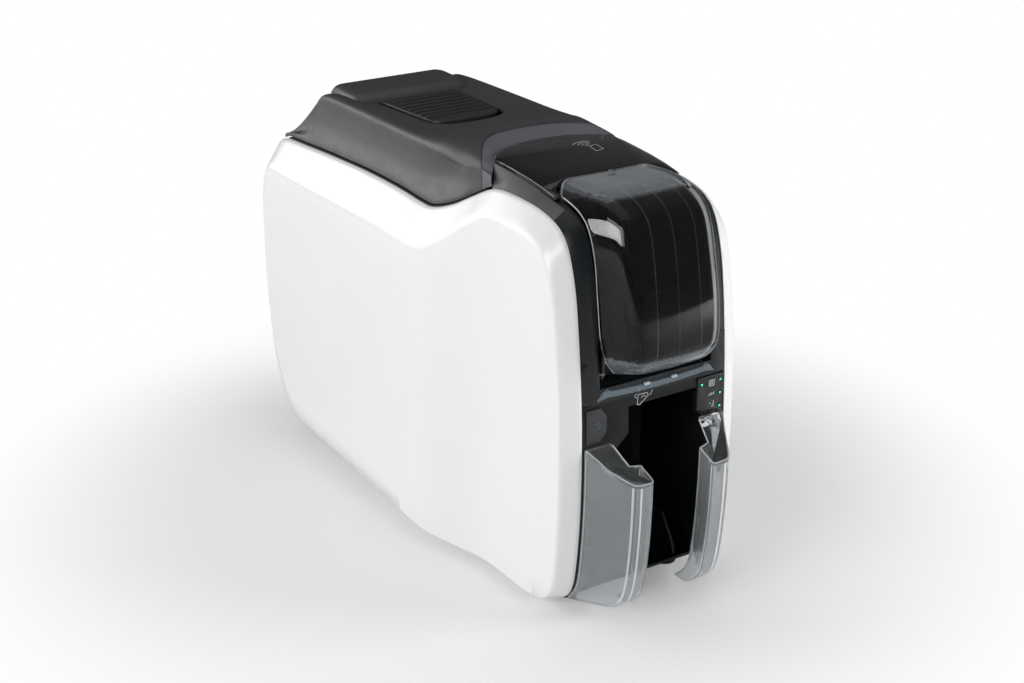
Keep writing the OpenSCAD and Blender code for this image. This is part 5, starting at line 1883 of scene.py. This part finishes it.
@dataclass
class Marks:
    """Small printed pictograms, each a thin mesh on its panel."""

    depth: float = 0.06

    def strip(self, name: str, path: Sequence[Sequence[float]], width: float,
              place: Callable[[float, float, float], tuple], fin: bpy.types.Material
              ) -> bpy.types.Object:
        """A printed line of even width.

        Args:
            name: The piece's name.
            path: The line's points, flat.
            width: Its width.
            place: Turns (u, v, height) into a point in space.
            fin: Its finish.

        Returns:
            The line as a thin solid.
        """
        path = np.asarray(path, float)
        a = shifted(path, width / 2, False)
        b = shifted(path, -width / 2, False)
        return prism(name, np.vstack([a, b[::-1]]), place, 0, self.depth, fin, 30)

    def arcs(self, name: str, middle: tuple[float, float], radii: Sequence[float], turn: float,
             place: Callable[[float, float, float], tuple], fin: bpy.types.Material
             ) -> list[bpy.types.Object]:
        """Nested arcs, as on readers for contactless cards.

        Args:
            name: The start of the pieces' names.
            middle: The arcs' middle, flat.
            radii: Their radii.
            turn: The direction that they open towards, in degrees.
            place: Turns (u, v, height) into a point in space.
            fin: Their finish.

        Returns:
            The arcs.
        """
        out = []
        for i, r in enumerate(radii):
            angles = np.radians(np.linspace(turn - 40, turn + 40, 14))
            path = [(middle[0] + r * math.cos(a), middle[1] + r * math.sin(a)) for a in angles]
            out.append(self.strip(f"{name}_{i}", path, 0.55, place, fin))
        return out

    def outline(self, name: str, corners: Sequence[Sequence[float]], width: float,
                place: Callable[[float, float, float], tuple], fin: bpy.types.Material
                ) -> list[bpy.types.Object]:
        """The outline of a flat shape, as one printed line for each side.

        Args:
            name: The start of the pieces' names.
            corners: The shape's corners, flat.
            width: The lines' width.
            place: Turns (u, v, height) into a point in space.
            fin: Their finish.

        Returns:
            The lines.
        """
        n = len(corners)
        return [self.strip(f"{name}_{i}", [corners[i], corners[(i + 1) % n]], width, place, fin)
                for i in range(n)]


def top_plate_z(y: float) -> float:
    """Height of the front top plate's middle at y."""
    return lookup(y, ((-126, 257.4), (-112, 259.8), (-98, 260.9), (-80, 261.6), (-62, 262.1),
                      (-40, 262.4)))


@dataclass
class Nose:
    """Bezel, gloss top plate with its pictogram, lower face, light bar, panel and button."""

    marks: Marks = field(default_factory=Marks)
    side_from: float = -136.0
    bar_breaks: tuple = (-7.5, 12.2)
    lens_rows: tuple = ((0.0, 0.62), (-0.06, 0.6), (-0.14, 0.5), (-0.19, 0.3), (-0.2, 0.12))
    lens_y: float = -166.66
    lens_at: tuple = ((34.4, 135), (48.4, 135.6), (48.4, 127), (48.4, 118.4))
    plate_half: float = 43.9
    plate_edge: tuple = ((-126, 254.3), (-112, 256.9), (-98, 258.7), (-80, 260.2), (-62, 261.2))

    def build(self, fin: Finishes, scatter: Scatter) -> None:
        """Finishes the front's pieces.

        Args:
            fin: The finishes.
            scatter: The tree that repeats the lit lenses.
        """
        # The bezel's side walls get the lighter finish: painted light.
        self.side_texture(recast("front_bezel", fin.bezel, 0.7, 30), fin.nose_side)
        recast("front_top_plate", fin.piano, 0.5, 12)
        # Painted highlight lines along both side edges of the top plate.
        line = [(y, lookup(y, self.plate_edge)) for y in np.arange(-124, -66, 2.0)]
        sides = [np.array([(x, y, z - 0.1) for y, z in line])
                 for x in (-self.plate_half, self.plate_half)]
        glint = wires("top_plate_edges", sides, 0.3, fin.glint)
        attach(glint, body_name("front_top_plate"))
        recast("lower_face", fin.black, 0.35, 25)
        recast("control_panel", fin.piano, 0.35, 25)
        recast("power_button", fin.inner, 0.35, 25)
        recast("light_bar", fin.guide, 0.6, 25)
        self.lenses(fin, scatter)
        self.pictograms(fin)
        for i, x in enumerate(self.bar_breaks):
            lens = cube(f"light_bar_lens_{i}", (x - 1.9, -168.6, 145.9), (x + 1.9, -166.6, 147.5),
                        fin.frost, 0.2)
            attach(lens, Body.CHASSIS)

    def side_texture(self, bezel: bpy.types.Object, finish: bpy.types.Material) -> None:
        """Gives the bezel's side walls behind the door their coarser texture and a lighter colour
        than its front, which is painted light on the sides.

        Args:
            bezel: The bezel.
            finish: The side walls' finish.
        """
        # Faces turned sideways get the lighter copy: painted light.
        bezel.data.materials.append(finish)
        for face in bezel.data.polygons:
            if abs(face.normal.x) > 0.2 and face.center.y > self.side_from * MM:
                face.material_index = 1

    def lenses(self, fin: Finishes, scatter: Scatter) -> None:
        """Sets domed lenses over the status lights.

        Args:
            fin: The finishes.
            scatter: The tree that repeats them.
        """
        rings = [np.array([[r * c, y, r * s] for c, s in circle(24)]) for y, r in self.lens_rows]
        verts, faces = loft(rings, caps=True)
        lens = piece("lens", verts, faces, fin.green, 60)
        places = [(x, self.lens_y, z) for x, z in self.lens_at]
        obj = scatter.run("status_lenses", lens, places, fin.green)
        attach(obj, Body.CHASSIS)
        dress("status_leds", fin.piano)

    def pictograms(self, fin: Finishes) -> None:
        """Prints the pictograms on the top plate, the lower face, the panel and the button.

        Args:
            fin: The finishes.
        """
        top = lambda u, v, h: (u, v, top_plate_z(v) + h - 0.02)
        items = self.marks.arcs("contactless_arc", (17.4, -72.6), (2.6, 5.0, 7.6, 10.4), 96, top,
                                fin.mark)
        items += self.marks.outline("contactless_card", ((17.5, -72.2), (23, -70.6), (21.7, -80.7),
                                                         (15.4, -82.0)), 0.5, top, fin.mark)
        face = lambda u, v, h: (u, face_y(v) - h + 0.02, v)
        items += self.marks.outline("card_way", ((-11.9, 139.6), (-5.2, 139.4), (-4.7, 137.6),
                                                 (-10.8, 133.2), (-12.6, 133.6)), 0.45, face,
                                    fin.mark)
        for name, path in (("left", ((-12.6, 140.6), (-14.6, 139.2), (-13.2, 137.6))),
                           ("right", ((-3.6, 137.2), (-2.2, 139.0), (-1.2, 141.0))),
                           ("fold", ((-9.8, 137.4), (-7.6, 138.4), (-6.6, 137.4)))):
            items.append(self.marks.strip(f"card_way_{name}", path, 0.45, face, fin.mark))
        panel = lambda u, v, h: (u, -166.4 - h + 0.02, v)
        items += self.marks.outline("panel_card", ((40.3, 132.6), (44.0, 132.6), (44.0, 136.2),
                                                   (40.3, 136.2)), 0.5, panel, fin.mark)
        for i, path in enumerate((((41.5, 133.2), (41.5, 135.6)), ((42.7, 133.2), (42.7, 135.6)),
                                  ((40.2, 126.4), (41.4, 128.2)), ((41.9, 126.4), (42.7, 128.2)),
                                  ((43.4, 126.6), (44.2, 128.4)), ((40.9, 121.6), (41.7, 120.8)),
                                  ((42.4, 119.2), (43.8, 119.2)), ((43.8, 119.2), (43.8, 122.8)))):
            items.append(self.marks.strip(f"panel_icon_{i}", path, 0.6, panel, fin.mark))
        knob = lambda u, v, h: (u, -166.6 - h + 0.02, v)
        angles = np.radians(np.linspace(125, 415, 30))
        ring = [(-42 + 2.5 * math.cos(a), 127.5 + 2.5 * math.sin(a)) for a in angles]
        items.append(self.marks.strip("power_ring", ring, 0.5, knob, fin.mark_dark))
        items.append(self.marks.strip("power_stroke", ((-42, 127.9), (-42, 131)), 0.5, knob,
                                      fin.mark_dark))
        for obj in items:
            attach(obj, Body.BUTTON if obj.name.startswith("power_") else Body.CHASSIS)


# ---------------------------------------------------------------- the rest of the machine
@dataclass
class Interior:
    """The pieces that keep the CAD's shape and take a finish and softer edges."""

    plan: dict = field(default_factory=lambda: {
        "base_tray": ("inner", 0.4), "rear_panel": ("cover", 0.4), "top_frame": ("black", 0.4),
        "hopper_tray": ("black", 0.35), "power_switch": ("inner", 0.25),
        "feeder_magazine": ("black", 0.35), "card_weight": ("inner", 0.3),
        "cover_inner_frame": ("inner", 0.35), "print_head_bracket": ("aluminium", 0.25),
        "print_head": ("ceramic", 0.3), "left_chassis_plate": ("sheet", 0.2),
        "right_chassis_plate": ("sheet", 0.2), "chassis_spacers": ("steel", 0.2),
        "lower_card_guide": ("inner", 0.25), "pick_roller": ("roller", 0.25),
        "feed_roller": ("roller", 0.25), "platen_roller": ("roller", 0.25),
        "rear_roller": ("roller", 0.25), "cleaning_roller": ("tacky", 0.25),
        "pinch_roller": ("roller", 0.25), "shaft_bushes": ("brass", 0.12),
        "pick_idler": ("nylon", 0.12), "feed_idler": ("nylon", 0.12), "rear_idler": ("nylon", 0.12),
        "motor_pinion": ("brass", 0.08), "drive_motor": ("sheet", 0.3),
        "ribbon_cassette": ("inner", 0.3), "ribbon_motor": ("sheet", 0.25),
        "ribbon_pinion": ("brass", 0.08), "circuit_board": ("board", 0.12),
        "power_inlet": ("piano", 0.25), "data_ports": ("steel", 0.15),
        "rubber_feet": ("rubber", 0.5),
        "casing_screws": ("steel", 0.15), "cover_hinge_pins": ("steel", 0.25),
        "feeder_door_pins": ("steel", 0.2), "latch_pin": ("steel", 0.2),
    })
    plain: dict = field(default_factory=lambda: {
        "power_button_spring": "steel", "latch_spring": "steel", "ribbon_film": "dye",
    })
    spring_at: tuple[float, float] = (62.0, 249.1)
    spring_keep: float = 0.45

    def build(self, fin: Finishes) -> None:
        """Recasts or dresses every remaining CAD node.

        Args:
            fin: The finishes.
        """
        for node, (look, edge) in self.plan.items():
            recast(node, getattr(fin, look), edge)
            LOG.info("%s: %s", node, look)
        for node, look in self.plain.items():
            dress(node, getattr(fin, look))
        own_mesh(bpy.data.objects["latch_spring"])
        for node in ("supply_spool", "take_up_spool"):
            obj = recast(node, fin.spool, 0.15)
            obj.data.materials.append(fin.dye)
            self.wind(obj)

    def wind(self, obj: bpy.types.Object) -> None:
        """Gives a spool's wound part the film's finish: what lies between 9 and 27 mm out."""
        axis = np.mean([[v.co.y, v.co.z] for v in obj.data.vertices], axis=0)
        for face in obj.data.polygons:
            c = face.center
            r = math.hypot(c.y - axis[0], c.z - axis[1]) / MM
            if abs(c.x) / MM <= 27.05 and r > 9.3:
                face.material_index = 1


# ---------------------------------------------------------------- studio
@dataclass
class Studio:
    """Floor, softboxes, sky and camera."""

    azimuth: float = -32.8431
    elevation: float = 22.3558
    roll: float = 0.1974
    focal_px: float = 1780.51
    eye: tuple = (-585.281, -918.789, 561.473)
    width_px: int = 1024
    aim: tuple = (0.0, 0.0, 0.12)
    fade: tuple = (0.16, 0.4)
    floor_half: float = 6.0
    sky_strength: float = 0.1

    def camera(self) -> bpy.types.Object:
        """Sets the camera where the machine is seen from.

        Returns:
            The camera.
        """
        data = bpy.data.cameras.new("camera")
        data.lens = self.focal_px * 36.0 / self.width_px
        data.sensor_width = 36.0
        data.clip_start = 0.05
        data.clip_end = 20.0
        cam = bpy.data.objects.new("camera", data)
        bpy.context.scene.collection.objects.link(cam)
        a, e = math.radians(self.azimuth), math.radians(self.elevation)
        back = Vector((math.sin(a) * math.cos(e), -math.cos(a) * math.cos(e), math.sin(e)))
        right = (-back).cross(Vector((0, 0, 1))).normalized()
        up = back.cross(right)
        turn = Matrix((right, up, back)).transposed() @ Matrix.Rotation(
            -math.radians(self.roll), 3, "Z")
        cam.matrix_world = Matrix.Translation(Vector(self.eye) * MM) @ turn.to_4x4()
        bpy.context.scene.camera = cam
        return cam

    def panel(self, name: str, at: Sequence[float], size: tuple[float, float], power: float
              ) -> bpy.types.Object:
        """A softbox that looks at the machine.

        Args:
            name: Its name.
            at: Its place in metres.
            size: Its width and height in metres.
            power: Its power in watts.

        Returns:
            The light.
        """
        data = bpy.data.lights.new(name, "AREA")
        data.shape = "RECTANGLE"
        data.size, data.size_y = size
        data.energy = power
        obj = bpy.data.objects.new(name, data)
        bpy.context.scene.collection.objects.link(obj)
        aim = Vector(self.aim) - Vector(at)
        obj.location = at
        obj.rotation_euler = aim.to_track_quat("-Z", "Y").to_euler()
        return obj

    def white_to_eye(self, tree: bpy.types.NodeTree, shader: bpy.types.NodeSocket,
                     out: bpy.types.NodeSocket, share: tuple[float, float]) -> None:
        """Lets camera rays see plain white in place of a shader, more of it farther out.

        Args:
            tree: The material's nodes.
            shader: The shader that the white replaces.
            out: Where the mixed shader goes.
            share: How much of it is white near the machine and far from it.
        """
        path = tree.nodes.new("ShaderNodeLightPath")
        white = tree.nodes.new("ShaderNodeEmission")
        white.inputs["Strength"].default_value = 1.0
        place = tree.nodes.new("ShaderNodeTexCoord")
        far = tree.nodes.new("ShaderNodeVectorMath")
        far.operation = "LENGTH"
        tree.links.new(place.outputs["Object"], far.inputs[0])
        grow = tree.nodes.new("ShaderNodeMapRange")
        grow.interpolation_type = "SMOOTHSTEP"
        grow.inputs["From Min"].default_value = self.fade[0]
        grow.inputs["From Max"].default_value = self.fade[1]
        grow.inputs["To Min"].default_value = share[0]
        grow.inputs["To Max"].default_value = share[1]
        tree.links.new(far.outputs["Value"], grow.inputs["Value"])
        scale = tree.nodes.new("ShaderNodeMath")
        scale.operation = "MULTIPLY"
        tree.links.new(grow.outputs["Result"], scale.inputs[1])
        both = tree.nodes.new("ShaderNodeMixShader")
        eye = tree.nodes.new("ShaderNodeMath")
        eye.operation = "MAXIMUM"
        tree.links.new(path.outputs["Is Camera Ray"], eye.inputs[0])
        tree.links.new(path.outputs["Is Transmission Ray"], eye.inputs[1])
        tree.links.new(eye.outputs[0], scale.inputs[0])
        tree.links.new(scale.outputs[0], both.inputs[0])
        tree.links.new(shader, both.inputs[1])
        tree.links.new(white.outputs["Emission"], both.inputs[2])
        tree.links.new(both.outputs["Shader"], out)

    def floor(self) -> bpy.types.Object:
        """Lays a pale floor that keeps the machine's soft shadow.

        Returns:
            The floor.
        """
        mesh = bpy.data.meshes.new("floor")
        s = self.floor_half
        mesh.from_pydata([(-s, -s, 0), (s, -s, 0), (s, s, 0), (-s, s, 0)], [], [(0, 1, 2, 3)])
        obj = bpy.data.objects.new("floor", mesh)
        bpy.context.scene.collection.objects.link(obj)
        mat = bpy.data.materials.new("floor_white")
        mat.use_nodes = True
        tree = mat.node_tree
        main = tree.nodes["Principled BSDF"]
        main.inputs["Base Color"].default_value = (0.92, 0.92, 0.92, 1)
        main.inputs["Roughness"].default_value = 0.9
        self.white_to_eye(tree, main.outputs["BSDF"],
                          tree.nodes["Material Output"].inputs["Surface"], (0.2, 1.0))
        mesh.materials.append(mat)
        return obj

    def sky(self) -> None:
        """A plain bright surrounding, white to the camera."""
        world = bpy.data.worlds.new("surround")
        bpy.context.scene.world = world
        world.use_nodes = True
        tree = world.node_tree
        back = tree.nodes["Background"]
        back.inputs["Color"].default_value = (1, 1, 1, 1)
        back.inputs["Strength"].default_value = self.sky_strength
        path = tree.nodes.new("ShaderNodeLightPath")
        seen = tree.nodes.new("ShaderNodeBackground")
        seen.inputs["Color"].default_value = (1, 1, 1, 1)
        seen.inputs["Strength"].default_value = 1.0
        both = tree.nodes.new("ShaderNodeMixShader")
        eye = tree.nodes.new("ShaderNodeMath")
        eye.operation = "MAXIMUM"
        tree.links.new(path.outputs["Is Camera Ray"], eye.inputs[0])
        tree.links.new(path.outputs["Is Transmission Ray"], eye.inputs[1])
        tree.links.new(eye.outputs[0], both.inputs[0])
        tree.links.new(back.outputs["Background"], both.inputs[1])
        tree.links.new(seen.outputs["Background"], both.inputs[2])
        tree.links.new(both.outputs["Shader"], tree.nodes["World Output"].inputs["Surface"])

    def window(self) -> None:
        """A panel that shows only as the window-like highlight on the feeder door."""
        window = self.panel("window_left", (-1.85, -0.2, 0.62), (1.2, 0.7), 37)
        window.visible_diffuse = False
        lit = bpy.data.collections.new("window_receivers")
        lit.objects.link(bpy.data.objects["feeder_door_shell"])
        window.light_linking.receiver_collection = lit

    def build(self) -> None:
        """Sets up the whole studio."""
        self.camera()
        self.floor()
        self.sky()
        self.panel("key_left", (-1.9, -0.6, 0.9), (1.4, 1.1), 27)
        self.window()
        fill = self.panel("fill_right", (1.5, -1.3, 0.5), (0.8, 0.8), 34)
        fill.visible_glossy = False
        fill.visible_transmission = False
        self.panel("rear_left", (-1.3, 1.7, 0.75), (1.7, 1.1), 17)
        self.panel("overhead", (0.0, 0.2, 2.3), (2.4, 2.4), 8.5)
        view = bpy.context.scene.view_settings
        view.view_transform = "Standard"


def main() -> None:
    """Builds every sub-assembly in order."""
    logging.basicConfig(level=logging.INFO, format="%(name)s: %(message)s")
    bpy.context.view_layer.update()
    fin = Finishes()
    scatter = Scatter()
    for side in Side:
        LOG.info("panel %s", SidePanel(side).build(fin.white).name)
        LOG.info("wing %s", OutputWing(side).build(fin).name)
    LOG.info("cover %s", [o.name for o in TopCover().build(fin)])
    LOG.info("band %s", ArchBand().build(fin.band).name)
    LOG.info("latch %s", [o.name for o in LatchPad().build(fin, scatter)])
    LOG.info("door %s", [o.name for o in FeederDoor().build(fin)])
    Nose().build(fin, scatter)
    Interior().build(fin)
    Studio().build()
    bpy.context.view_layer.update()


if __name__ == "__main__":
    main()
